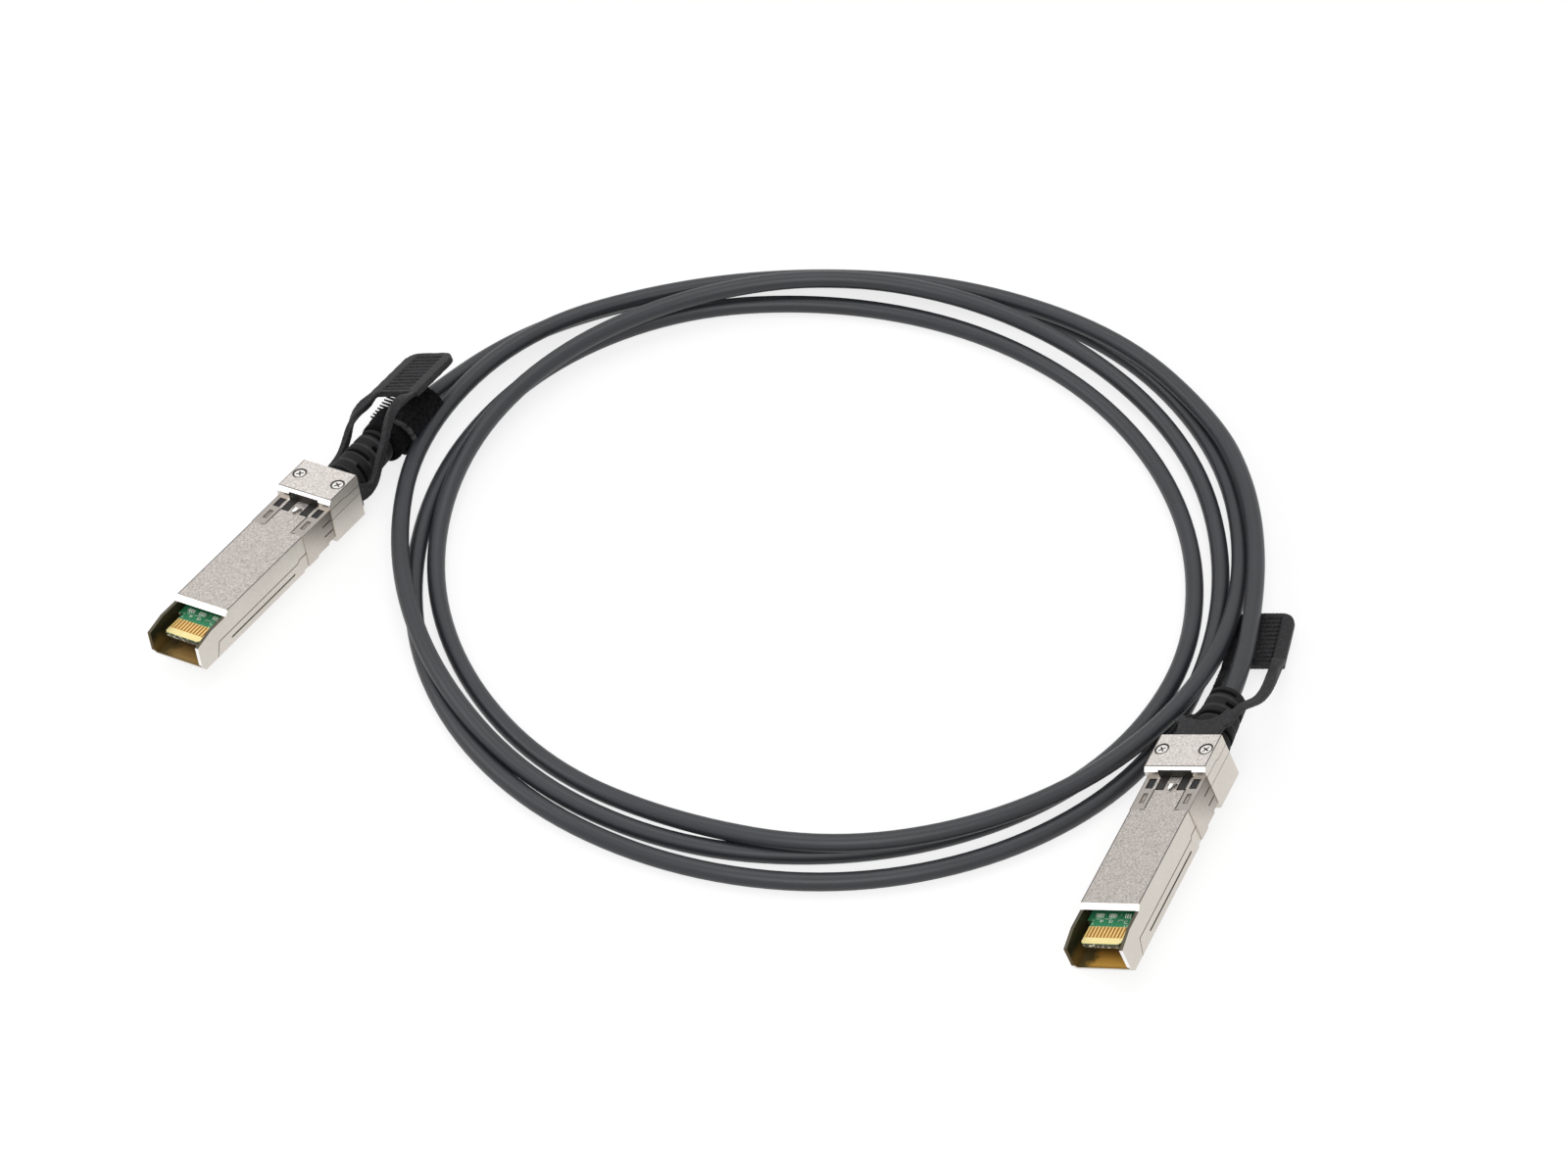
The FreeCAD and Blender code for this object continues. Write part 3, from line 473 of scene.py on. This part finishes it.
def circuit_board(which):
    """Green card with plain white position marks and fine tracks."""
    f = Finish("circuit_board_" + which)
    x, y, z, up = f.plug_place(which)
    weave = f.noise(1500.0, 2.0)
    colour = f.mix(weave, (0.020, 0.17, 0.075), (0.05, 0.30, 0.14))
    face = up.size().above(0.9, 0.06)
    tracks = y.wrap(0.9).within(0.38, 0.56, 0.06) * x.within(*TRACKS_X, 0.1)
    colour = f.mix(tracks * 0.4, colour, (0.08, 0.40, 0.20))
    via = (x.wrap(1.7) - 0.85).size() + ((y + 0.4).wrap(1.9) - 0.95).size()
    colour = f.mix(via.below(0.24, 0.06) * face, colour, (0.40, 0.48, 0.36))
    marks = [y.within(left, right, 0.08) * x.within(near, far, 0.08)
             for left, right, near, far in CARD_MARKS]
    white = marks[0]
    for mark in marks[1:]:
        white = white.most(mark)
    colour = f.mix(white * face * 0.8, colour, (0.80, 0.86, 0.76))
    edge = 1.0 - face
    speck = f.noise(1500.0, 1.0).above(0.60, 0.06)
    colour = f.mix(edge, colour, (0.055, 0.045, 0.020))
    colour = f.mix(edge * speck, colour, (0.72, 0.68, 0.52))
    return f.surface(Base_Color=colour, Roughness=0.34 + weave * 0.1, Specular_IOR_Level=0.5,
                     Normal=f.bump(weave, 0.15, 0.00003))


def contact_gold(which):
    """Plated contacts, with the bare gaps between them darker and redder."""
    f = Finish("contact_gold_" + which)
    x, y = f.plug_place(which)[:2]
    rub = f.noise(900.0, 3.0)
    gap = (y + 5.0 * CONTACT_PITCH).wrap(CONTACT_PITCH)
    between = gap.below(0.19, 0.06).most(gap.above(0.61, 0.06))
    row = y.size().below(CONTACT_HALF, 0.05)
    between = between * x.within(*CONTACT_X, 0.1) * row
    colour = f.mix(rub, (0.86, 0.59, 0.17), (0.97, 0.75, 0.28))
    worn = f.mix(rub, (0.93, 0.74, 0.29), (1.0, 0.90, 0.48))
    colour = f.mix(x.below(CONTACT_BAND_X, 0.3), colour, worn)
    colour = f.mix(between * 0.95, colour, (0.34, 0.09, 0.012))
    heel = x.within(CONTACT_BAND_X, 4.85, 0.12) * row
    colour = f.mix(heel * 0.35, colour, (0.45, 0.22, 0.05))
    return f.surface(Base_Color=colour, Metallic=0.55, Roughness=0.36 + rub * 0.12,
                     Normal=f.bump(rub, 0.15, 0.00003))


def chip_resin(which):
    """Dark resin of the chips; the small parts at the card's front edge are cream."""
    f = Finish("chip_resin_" + which)
    x, y = f.plug_place(which)[:2]
    speck = f.noise(2600.0, 2.0)
    colour = f.mix(speck, (0.02, 0.02, 0.022), (0.07, 0.068, 0.065))
    bars = f.mix(y.wrap(0.52).above(0.20, 0.08), (0.05, 0.24, 0.12), (0.80, 0.84, 0.72))
    colour = f.mix(x.below(CHIPS_X), colour, bars)
    return f.surface(Base_Color=colour, Roughness=0.5, Normal=f.bump(speck, 0.2, 0.00004))


def plain_metal(name, dark, light, rough):
    f = Finish(name)
    rub = f.noise(900.0, 3.0)
    return f.surface(Base_Color=f.mix(rub, dark, light), Metallic=1.0,
                     Roughness=rough + rub * 0.15, Normal=f.bump(rub, 0.2, 0.00003))


def black_rubber(which):
    """Moulded boot: matt, faintly mottled, with paler rings between the slots that are painted
    highlights on their rims.
    """
    f = Finish("black_rubber_" + which)
    x = f.plug_place(which)[0]
    mottle = f.noise(520.0, 4.0, 0.65)
    pores = f.noise(2600.0, 2.0)
    colour = f.mix(mottle, (0.004, 0.004, 0.0045), (0.013, 0.0125, 0.0135))
    # painted highlights on the rims between the slots
    painted_lip = (x - BOOT_RING_X).wrap(BOOT_SLOT_PITCH).near(0.8, 0.34, 0.25) * x.within(*BOOT_RINGS_X, 0.4)
    colour = f.mix(painted_lip * mottle, colour, (0.060, 0.059, 0.062))
    return f.surface(Base_Color=colour, Roughness=0.60 + mottle * 0.16, Specular_IOR_Level=0.20,
                     Normal=f.bump(pores, 0.35, 0.00008, f.bump(mottle, 0.3, 0.0002)))


def tab_plastic():
    """Flexible pull tab: satin black with the mould's fine texture."""
    f = Finish("tab_plastic")
    texture = f.noise(1500.0, 3.0, 0.6)
    wear = f.noise(160.0, 3.0)
    colour = f.mix(wear, (0.006, 0.006, 0.007), (0.019, 0.019, 0.021))
    colour = f.mix(texture.above(0.58, 0.15) * 0.4, colour, (0.060, 0.060, 0.065))
    return f.surface(Base_Color=colour, Roughness=0.48 + texture * 0.16, Specular_IOR_Level=0.28,
                     Normal=f.bump(texture, 0.35, 0.0001))


def slider_black():
    """Latch slider: hard black plastic, a shade warmer than the tab."""
    f = Finish("slider_black")
    texture = f.noise(1500.0, 3.0)
    colour = f.mix(texture, (0.008, 0.007, 0.006), (0.030, 0.027, 0.023))
    return f.surface(Base_Color=colour, Roughness=0.40 + texture * 0.14, Specular_IOR_Level=0.35,
                     Normal=f.bump(texture, 0.25, 0.00006))


def pocket_shade_sheet():
    """Dark sheet on the floor of the latch pockets, standing in for the shade there."""
    f = Finish("pocket_shade_sheet")
    rub = f.noise(1200.0, 2.0)
    return f.surface(Base_Color=f.mix(rub, (0.026, 0.025, 0.026), (0.040, 0.039, 0.040)),
                     Roughness=0.6, Specular_IOR_Level=0.2, Normal=f.bump(rub, 0.2, 0.00004))


def jacket():
    """Satin jacket: bluish black, with faint clouds along it."""
    f = Finish("jacket")
    cloud = f.noise(70.0, 3.0)
    fine = f.noise(2200.0, 2.0)
    colour = f.mix(cloud, (0.016, 0.017, 0.0205), (0.029, 0.031, 0.0365))
    return f.surface(Base_Color=colour, Roughness=0.36 + fine * 0.10,
                     Normal=f.bump(fine, 0.10, 0.00005, f.bump(cloud, 0.06, 0.0004)))


def strap_cloth(name, dark, light, hem_at=None):
    """Hook and loop cloth: deep black pile with grey tips, and a paler hem along a cut edge."""
    f = Finish(name)
    pile = f.noise(1250.0, 4.0, 0.75)
    tuft = f.noise(420.0, 3.0)
    colour = f.mix(pile.above(0.53, 0.3), dark, light)
    if hem_at is not None:
        turn = math.radians(STRAP_TURN)
        start = Vector((*STRAP_AT, 0.0)) * MM
        along = f.along(f.place(), (math.cos(turn), math.sin(turn), 0.0), start) * 1000.0
        hem = along.near(hem_at, 0.40, 0.25) * (0.25 + tuft)
        colour = f.mix(hem, colour, (0.08, 0.08, 0.0824))
    return f.surface(Base_Color=colour, Roughness=0.95, Specular_IOR_Level=0.06,
                     Sheen_Weight=0.03, Sheen_Roughness=0.5,
                     Normal=f.bump(pile, 0.8, 0.0003, f.bump(tuft, 0.5, 0.0005)))


def dress(name, material):
    for slot in nodes[name].material_slots:
        slot.material = material


plastic = tab_plastic()
slider = slider_black()
# dark sheet that stands in for the shade in the latch pockets
shade_sheet = pocket_shade_sheet()
crimp = plain_metal("crimp_tin", (0.55, 0.54, 0.52), (0.72, 0.71, 0.69), 0.25)
copper = plain_metal("drawn_copper", (0.72, 0.36, 0.20), (0.88, 0.50, 0.30), 0.22)
shells = {which: nickel_shell(which) for which in "ab"}
boots = {which: black_rubber(which) for which in "ab"}

# the other nodes of each plug are replaced by the worked pieces below
for which in "ab":
    for name, material in (("shell_base", shells[which]), ("head_cap", nickel_cap(which)),
                           ("head_screws", screw_steel(which)),
                           ("emi_collar", spring_steel(which)),
                           ("paddle_card", circuit_board(which)),
                           ("edge_contacts", contact_gold(which)),
                           ("card_chips", chip_resin(which)),
                           ("ferrule", crimp), ("twinax_pairs", copper)):
        dress(name + "_" + which, material)


# ---- working a piece -------------------------------------------------------
def edit(obj, kind, pick, *steps):
    """Select vertices, edges or faces of a mesh by their place, then work on them in turn."""
    modes = {"vertices": "VERT", "edges": "EDGE", "polygons": "FACE"}
    bpy.context.view_layer.objects.active = obj
    bpy.ops.object.mode_set(mode="EDIT")
    bpy.ops.mesh.select_mode(type=modes[kind])
    bpy.ops.mesh.select_all(action="DESELECT")
    bpy.ops.object.mode_set(mode="OBJECT")
    for part in getattr(obj.data, kind):
        part.select = bool(pick(part))
    bpy.ops.object.mode_set(mode="EDIT")
    for operator, settings in steps:
        operator(**settings)
    bpy.ops.object.mode_set(mode="OBJECT")


def joined_copy(node, name, material, body):
    """A piece that starts as a node's own solid, with its facets joined, and stands for it."""
    bpy.ops.object.select_all(action="DESELECT")
    piece = bpy.data.objects.new(name, nodes[node].data.copy())
    bpy.context.scene.collection.objects.link(piece)
    piece.select_set(True)
    piece.data.materials.clear()
    piece.data.materials.append(material)
    edit(piece, "vertices", lambda v: True, (bpy.ops.mesh.remove_doubles, {"threshold": 0.002 * MM}))
    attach(piece, body)
    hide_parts(node)
    return piece


def block(name, size):
    """A plain block about the origin, of a size in mm."""
    bpy.ops.object.select_all(action="DESELECT")
    bpy.ops.mesh.primitive_cube_add(size=1.0)
    piece = bpy.context.object
    piece.name = name
    piece.scale = [side * MM for side in size]
    bpy.ops.object.transform_apply(location=False, rotation=False, scale=True)
    return piece


def break_edges(piece, width):
    edit(piece, "edges", lambda edge: True,
         (bpy.ops.mesh.bevel, {"offset": width * MM, "segments": 2, "affect": "EDGES"}))


def set_down(piece, turn, place):
    """Turn and move a piece, and keep both in its mesh."""
    piece.rotation_euler = turn
    piece.location = place
    bpy.ops.object.transform_apply(location=True, rotation=True, scale=False)


def soften(piece, grain, rounds):
    """Turn sharp corners into the small radii of a moulded piece."""
    skin = piece.modifiers.new("skin", "REMESH")
    skin.mode = "VOXEL"
    skin.voxel_size = grain * MM
    bpy.ops.object.modifier_apply(modifier="skin")
    ease = piece.modifiers.new("ease", "SMOOTH")
    ease.factor = 0.5
    ease.iterations = rounds
    bpy.ops.object.modifier_apply(modifier="ease")
    bpy.ops.object.shade_smooth()


def draw_out(piece, which, pick, move, reach):
    """Move the picked corners in a plug's axes and draw those within reach along, ever less."""
    edit(piece, "vertices", lambda v: pick(in_plug(which, v.co)),
         (bpy.ops.transform.translate,
          {"value": plug_turn(which) @ Vector(move) * MM,
           "use_proportional_edit": True, "proportional_edit_falloff": "SMOOTH",
           "proportional_size": reach * MM}))


# ---- worked pieces of the plugs --------------------------------------------
RAMP_HIGH = 1.8          # ramp under the nose, up its front face
RAMP_LONG = 1.0          # and back along its underside
BOOT_GRAIN = 0.17        # fineness that the rounding works at
BOOT_LIFT = 1.0          # the cable's own bend lifts the free end of each boot
BOOT_STRETCH = 1.8       # and draws it out a little
BOOT_REACH = 13.0        # over this length of it
CROSSBAR_FRONT = (46.0, 46.8)
CROSSBAR_SET_BACK = 1.0
RAIL_X = (43.95, 47.35)
RAIL_Y = (3.5, 4.2)
RAIL_Z = (8.1, 8.56)
# dark sheets that stand in for the shade in the latch pockets
SHADE_SHEET_X = (43.96, 46.88)
SHADE_SHEET_Y = (4.25, 5.95)
SHADE_SHEET_Z = (7.9, 8.3)
TAB_GRAIN = 0.2
PLATE_CORNER_X = 65.2    # far corner of tab b's plate, behind and above these
PLATE_CORNER_Y = (4.3, 6.6)
PLATE_CORNER_Z = 9.0


def ramp_nose(which):
    """The nose is ramped on its underside, to find its way into a cage."""
    nose = joined_copy("shell_top_" + which, "ramped_shell_" + which, shells[which], "cable")
    slope = plug_turn(which) @ Vector((-RAMP_HIGH, 0.0, -RAMP_LONG)).normalized()
    edit(nose, "vertices", lambda v: True,
         (bpy.ops.mesh.bisect, {"plane_co": on_plug(which, 0, 0, RAMP_HIGH), "plane_no": slope,
                                "use_fill": True, "clear_outer": True}))


def mould_boot(which):
    boot = joined_copy("boot_" + which, "moulded_boot_" + which, boots[which], "cable")
    soften(boot, BOOT_GRAIN, 3)
    draw_out(boot, which, lambda place: place.x > BOOT_END - 1.0,
             (BOOT_STRETCH, 0.0, BOOT_LIFT), BOOT_REACH)


def thin_slider(which):
    """The slider's crossbar is a thin one, set back under the head."""
    latch = joined_copy("latch_slider_" + which, "thin_slider_" + which, slider,
                        "release_" + which)
    low, high = CROSSBAR_FRONT
    edit(latch, "vertices", lambda v: low < in_plug(which, v.co).x < high,
         (bpy.ops.transform.translate, {"value": plug_turn(which).col[0] * CROSSBAR_SET_BACK * MM}))


def plate(name, which, along, across, up, material):
    """A small plate with broken edges, on a plug and in its own axes."""
    spans = (along, across, up)
    piece = block(name, [abs(end - start) for start, end in spans])
    break_edges(piece, 0.08)
    middle = on_plug(which, *[sum(span) / 2.0 for span in spans])
    set_down(piece, plug_turn(which).to_euler(), middle)
    piece.data.materials.append(material)
    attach(piece, "cable")


def rail_and_shade_pockets(which):
    """A rail beside each latch pocket and a dark sheet on its floor, as painted shade."""
    for hand, title in ((-1.0, which + "_right"), (1.0, which + "_left")):
        plate("pocket_rail_" + title, which, RAIL_X, [hand * y for y in RAIL_Y], RAIL_Z,
              shells[which])
        plate("pocket_shade_sheet_" + title, which, SHADE_SHEET_X, [hand * y for y in SHADE_SHEET_Y], SHADE_SHEET_Z,
              shade_sheet)


def in_plate_corner(place):
    near, far = PLATE_CORNER_Y
    return place.x > PLATE_CORNER_X and near < place.y < far and place.z > PLATE_CORNER_Z


def mould_tab(which):
    tab = joined_copy("pull_tab_" + which, "moulded_tab_" + which, plastic,
                      "release_" + which)
    soften(tab, TAB_GRAIN, 4)
    if which == "b":
        # the plate's far corner is pulled in and rounded
        draw_out(tab, which, in_plate_corner, (-1.3, 0.0, -0.5), 2.6)


for which in "ab":
    ramp_nose(which)
    mould_boot(which)
    thin_slider(which)
    rail_and_shade_pockets(which)
    mould_tab(which)


# ---- cable -----------------------------------------------------------------
# Free stretch from plug A to the coil, and the other one back to plug B:
# angle about the coil's centre, radius and height of each given point.
TAIL_A = ((150.5, 101.6, 4.4), (136.5, 99.6, 3.0), (123.0, 96.4, 2.2), (109.0, 92.8, 2.0))
TAIL_B = ((25.0, 94.6, 6.0), (12.0, 93.4, 6.1), (359.0, 91.9, 6.3), (345.5, 91.8, 6.5))
# The turns, clockwise from the far side: radius and height every 22.5 degrees.
TURNS = (
    ((90.8, 2), (92, 2), (93.8, 2), (92, 2), (88.3, 3), (86.2, 6.2), (83.5, 6), (82.4, 6),
     (82.6, 6), (80.4, 4.4), (81.7, 2.2), (82.7, 2), (84.3, 2), (85.3, 5), (85.5, 6), (85.1, 6.8)),
    ((84.9, 8.1), (84.8, 7), (85.9, 4), (85.8, 2.5), (84, 2), (84.1, 2), (86.9, 2), (88.1, 2),
     (89.3, 2), (90.1, 2), (91.1, 2), (90.4, 2), (88.5, 2), (88.2, 2), (88, 2), (86.2, 2)),
    ((82.3, 2), (80.4, 2), (79, 2), (78, 2), (78.2, 2), (79.7, 2), (80.4, 2), (80.7, 2),
     (81.9, 2), (84.7, 2), (87.2, 3), (88.9, 6), (91.5, 6), (96.1, 5), (95.8, 6.2), (90.1, 5.2)),
    ((87.8, 5.1), (89.5, 5.6), (92.8, 6)),
)
STEP = 22.5
REACH = 1.0 / math.cos(math.radians(STEP / 2))   # control points stand outside the curve
CABLE_INSET = 0.8        # the cable starts this far inside the boot's end
CABLE_LEAD = 5.0         # and runs on this far in line with it
LEAD_RISE = 0.3

mouth = (BOOT_END + BOOT_STRETCH - CABLE_INSET, 0.0, CABLE_AXIS + BOOT_LIFT)
beyond = (BOOT_END + BOOT_STRETCH + CABLE_LEAD, 0.0, CABLE_AXIS + BOOT_LIFT + LEAD_RISE)
route = [on_plug("a", *mouth), on_plug("a", *beyond)]
route += [on_coil(*stop) for stop in TAIL_A]
for turn in TURNS:
    for i, (radius, height) in enumerate(turn):
        route.append(on_coil(90.0 - STEP * i, radius * REACH, height))
route += [on_coil(*stop) for stop in TAIL_B]
route += [on_plug("b", *beyond), on_plug("b", *mouth)]

line = bpy.data.curves.new("cable_jacket", "CURVE")
line.dimensions = "3D"
spline = line.splines.new("NURBS")
spline.points.add(len(route) - 1)
for point, place in zip(spline.points, route):
    point.co = (*place, 1.0)
spline.order_u = 3
spline.use_endpoint_u = True
spline.resolution_u = 10
line.bevel_depth = CABLE_D / 2 * MM
line.bevel_resolution = 5
line.use_fill_caps = True
line.twist_mode = "Z_UP"
cable = bpy.data.objects.new("cable_jacket", line)
bpy.context.scene.collection.objects.link(cable)
line.materials.append(jacket())
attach(cable, "cable")
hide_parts("cable_coil", "cable_tail_a", "cable_tail_b")


# ---- hook and loop strap ---------------------------------------------------
# Sizes in mm in the strap's own axes: x along the cable, y across it and z up.
STRAP_LIFT = 0.1
END_RIM = 1.1            # width of the rim that stays flat at each end
END_ROLL = 0.8           # how far the cloth is rolled in there, and its radius
PILE_GRID = 0.24         # spacing of the rings that carry the pile
TUFT_GRAIN = 0.9
PILE_GRAIN = 0.35
RIBS = 12
RIB_PITCH = 1.0
RIB_SIZE = (0.46, 3.6, 0.9)
RIB_AT = (-4.4, 3.8, 8.0)
HAIR = 1e-6              # places closer than this, in metres, are the same


def wound_band(name, near, far, side, across, low, high):
    """Cloth wound round the cable: an oval drum with rolled-in ends, ready for its pile."""
    length = (far - near) * MM
    bpy.ops.object.select_all(action="DESELECT")
    bpy.ops.mesh.primitive_cylinder_add(vertices=160, radius=1.0, depth=length, end_fill_type="NGON",
                                        rotation=(0.0, math.radians(90.0), 0.0))
    band = bpy.context.object
    band.name = name
    bpy.ops.object.transform_apply(location=False, rotation=True, scale=False)
    band.scale = (1.0, across / 2.0 * MM, (high - low) / 2.0 * MM)
    bpy.ops.object.transform_apply(location=False, rotation=False, scale=True)
    ops = bpy.ops.mesh
    edit(band, "polygons", lambda face: len(face.vertices) > 4, (ops.inset, {"thickness": END_RIM * MM}))
    for end, turn in ((-length / 2, 1.0), (length / 2, -1.0)):
        inwards = (turn * END_ROLL * MM, 0.0, 0.0)
        edit(band, "polygons",
             lambda face: len(face.vertices) > 4 and abs(face.center.x - end) < 0.1 * MM,
             (ops.extrude_region_move, {"TRANSFORM_OT_translate": {"value": inwards}}))
    mesh = band.data

    def on_rim(edge):
        a, b = [mesh.vertices[i].co for i in edge.vertices]
        reach = ((a.y / across * 2.0) ** 2 + (a.z / (high - low) * 2.0) ** 2) ** 0.5 / MM
        return abs(a.x - b.x) < HAIR and abs(abs(a.x) - length / 2) < HAIR and reach > 0.97

    def lengthwise(edge):
        a, b = [mesh.vertices[i].co for i in edge.vertices]
        return abs(a.x - b.x) > length * 0.6

    edit(band, "edges", on_rim, (ops.bevel, {"offset": END_ROLL * MM, "segments": 5, "affect": "EDGES"}))
    edit(band, "edges", lengthwise, (ops.subdivide, {"number_cuts": int((far - near) / PILE_GRID)}))
    band.location = ((near + far) / 2.0 * MM, side * MM, (low + high) / 2.0 * MM)
    bpy.ops.object.transform_apply(location=True, rotation=False, scale=False)
    return band


def lay_on_cable(piece):
    set_down(piece, (0.0, 0.0, math.radians(STRAP_TURN)),
             (STRAP_AT[0] * MM, STRAP_AT[1] * MM, STRAP_LIFT * MM))


def rough_pile(band, coarse, fine):
    """Raise the pile with two sizes of soft noise and lay the band on its place."""
    for title, grain, height in (("tufts", TUFT_GRAIN, coarse), ("pile", PILE_GRAIN, fine)):
        cloud = bpy.data.textures.new(band.name + "_" + title, "CLOUDS")
        cloud.noise_scale = grain * MM
        cloud.noise_depth = 2
        lift = band.modifiers.new(title, "DISPLACE")
        lift.texture = cloud
        lift.texture_coords = "LOCAL"
        lift.strength = height * MM
        lift.mid_level = 0.5
        bpy.ops.object.modifier_apply(modifier=title)
    lay_on_cable(band)
    bpy.ops.object.shade_smooth()


def cut_comb():
    """The comb of cut ribs along the outer turn's free edge: one rib and its copies."""
    comb = block("strap_comb", RIB_SIZE)
    # each rib narrows towards its far end
    edit(comb, "polygons", lambda face: face.center.y > 1.0 * MM,
         (bpy.ops.transform.resize, {"value": (0.5, 1.0, 0.5)}))
    break_edges(comb, 0.09)
    ribs = comb.modifiers.new("ribs", "ARRAY")
    ribs.count = RIBS
    ribs.use_relative_offset = False
    ribs.use_constant_offset = True
    ribs.constant_offset_displace = (RIB_PITCH * MM, 0.0, 0.0)
    bpy.ops.object.modifier_apply(modifier="ribs")
    comb.location = [place * MM for place in RIB_AT]
    bpy.ops.object.transform_apply(location=True, rotation=False, scale=False)
    lay_on_cable(comb)
    return comb


outer = wound_band("strap_outer", near=-5.5, far=7.6, side=-1.15, across=10.9, low=0.2, high=10.6)
rough_pile(outer, coarse=0.45, fine=0.40)
outer.data.materials.append(
    strap_cloth("strap_pile", (0.002, 0.002, 0.0022), (0.017, 0.017, 0.019), hem_at=-5.3))
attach(outer, "cable")

comb = cut_comb()
comb.data.materials.append(slider)
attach(comb, "cable")

inner = wound_band("strap_inner", near=-8.7, far=-1.0, side=0.9, across=9.9, low=0.1, high=9.9)
rough_pile(inner, coarse=0.30, fine=0.16)
inner.data.materials.append(
    strap_cloth("strap_back", (0.003, 0.003, 0.0035), (0.010, 0.010, 0.0115)))
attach(inner, "cable")
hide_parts("hook_loop_strap")


# ---- light and floor -------------------------------------------------------
SHADOW_LEVEL = 0.5       # the world's own light, against 1 where it is seen
FLOOR_GREY = 0.6
FLOOR_GLOW = 1.4
FLOOR_SHARE = 0.55       # part of what is seen of the floor that is glow


def area_light(name, place, aim, size, power):
    data = bpy.data.lights.new(name, "AREA")
    data.shape = "RECTANGLE"
    data.size, data.size_y = size
    data.energy = power
    lamp = bpy.data.objects.new(name, data)
    bpy.context.scene.collection.objects.link(lamp)
    lamp.location = place
    lamp.rotation_euler = (Vector(aim) - Vector(place)).to_track_quat("-Z", "Y").to_euler()


area_light("front_softbox", (0.1, -1.1, 1.3), (0, 0, 0), (1.2, 0.8), 9.0)
area_light("left_softbox", (-1.2, 0.1, 0.9), (0, 0, 0), (0.8, 0.8), 4.0)
area_light("top_softbox", (0.0, 0.5, 1.5), (0, 0, 0), (1.0, 1.0), 5.0)

world = bpy.data.worlds.new("studio")
bpy.context.scene.world = world
sky = Nodes(world)
level = sky.node("ShaderNodeMapRange", None,
                 {"Value": sky.background_ray(), "To Min": SHADOW_LEVEL, "To Max": 1.0})
air = sky.node("ShaderNodeBackground", None, {"Color": (1, 1, 1), "Strength": level})
sky.node("ShaderNodeOutputWorld", None, {"Surface": air})

bpy.ops.mesh.primitive_plane_add(size=8.0, location=(0, 0, -0.0002))
floor = bpy.context.object
floor.name = "floor"
paper = Finish("paper_floor")
matt = paper.node("ShaderNodeBsdfDiffuse", None, {"Color": (FLOOR_GREY,) * 3})
glow = paper.node("ShaderNodeEmission", None, {"Color": (1, 1, 1), "Strength": FLOOR_GLOW})
sheet = paper.node("ShaderNodeMixShader", None,
                   {0: paper.background_ray() * FLOOR_SHARE, 1: matt, 2: glow})
paper.node("ShaderNodeOutputMaterial", None, {"Surface": sheet})
floor.data.materials.append(paper.material)

bpy.context.scene.view_settings.view_transform = "Standard"
